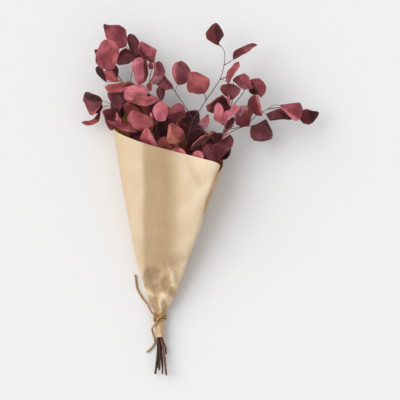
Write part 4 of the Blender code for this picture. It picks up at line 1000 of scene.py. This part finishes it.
def make_leaf(leaf):
    """The blade's copy, bent to this leaf's place, with its dyed colour, painted light and shade and flat
    pattern.
    """
    copy = blade.copy()
    copy.data = blade.data.copy()
    bpy.context.scene.collection.objects.link(copy)
    curl, forms = leaf_curl(leaf), copy.data.attributes["form"].data
    shift = Vector((curl[0], curl[1])) * 40
    length = (Vector(leaf[1]) - Vector(leaf[0])).length
    wide = max(leaf[3]) - min(leaf[2])
    flat = []
    for vertex, kept in zip(copy.data.vertices, forms):
        across, t = kept.vector[:2]
        vertex.co = put(blade_point(leaf, across, t, curl))
        flat.append(Vector((across * wide / 2, t * length)) * 0.01 + shift)
    for corner, spot in zip(copy.data.loops, copy.data.uv_layers[0].data):
        spot.uv = flat[corner.vertex_index]
    copy.data.uv_layers[0].name = "flat"
    # Its colour: dyed, with given sides, tips and bases partly painted light and shade.
    copy.data.attributes.new("dye_and_shade", "FLOAT_COLOR", "POINT")
    vary = 0.85 + 0.3 * curl[5]
    first = Vector(DYES_AND_PAINTED_SHADE[leaf[8]]) * vary
    forms = copy.data.attributes["form"].data  # a new attribute moves the others
    for kept, spot in zip(copy.data.attributes["dye_and_shade"].data, forms):
        across, t = spot.vector[:2]
        colour = first
        for second, where, start in leaf[9:]:
            far = {"left": -across, "right": across, "tip": t, "base": 1 - t}[where]
            ragged = 0.12 * noise.noise(Vector((across * 2.5, t * 5, 9 * curl[0])))
            share = held((far + ragged - start) / 0.12 + 0.5)
            colour = colour.lerp(Vector(DYES_AND_PAINTED_SHADE[second]) * vary, share)
        kept.color = (*colour, 1)
    return copy


for name, spray in SPRAYS.items():
    leaves = joined(name + "_leaves", [make_leaf(leaf) for leaf in spray["leaves"]])
    bpy.ops.object.mode_set(mode="EDIT")
    bpy.ops.mesh.select_all(action="SELECT")
    bpy.ops.mesh.remove_doubles(threshold=2e-6)
    bpy.ops.object.mode_set(mode="OBJECT")
    leaves.data.materials.clear()
    leaves.data.materials.append(upper)
    leaves.data.materials.append(under)
    bpy.ops.object.modifier_add(type="SOLIDIFY")
    thicken = leaves.modifiers[0]
    thicken.thickness = LEAF_THICKNESS * MM
    thicken.offset = 0
    thicken.use_even_offset = False
    thicken.material_offset = 1
    bpy.ops.object.modifier_apply(modifier=thicken.name)
    leaves.data.shade_smooth()
    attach(leaves, "root")
    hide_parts(name)
bpy.data.objects.remove(blade)

bpy.context.view_layer.update()
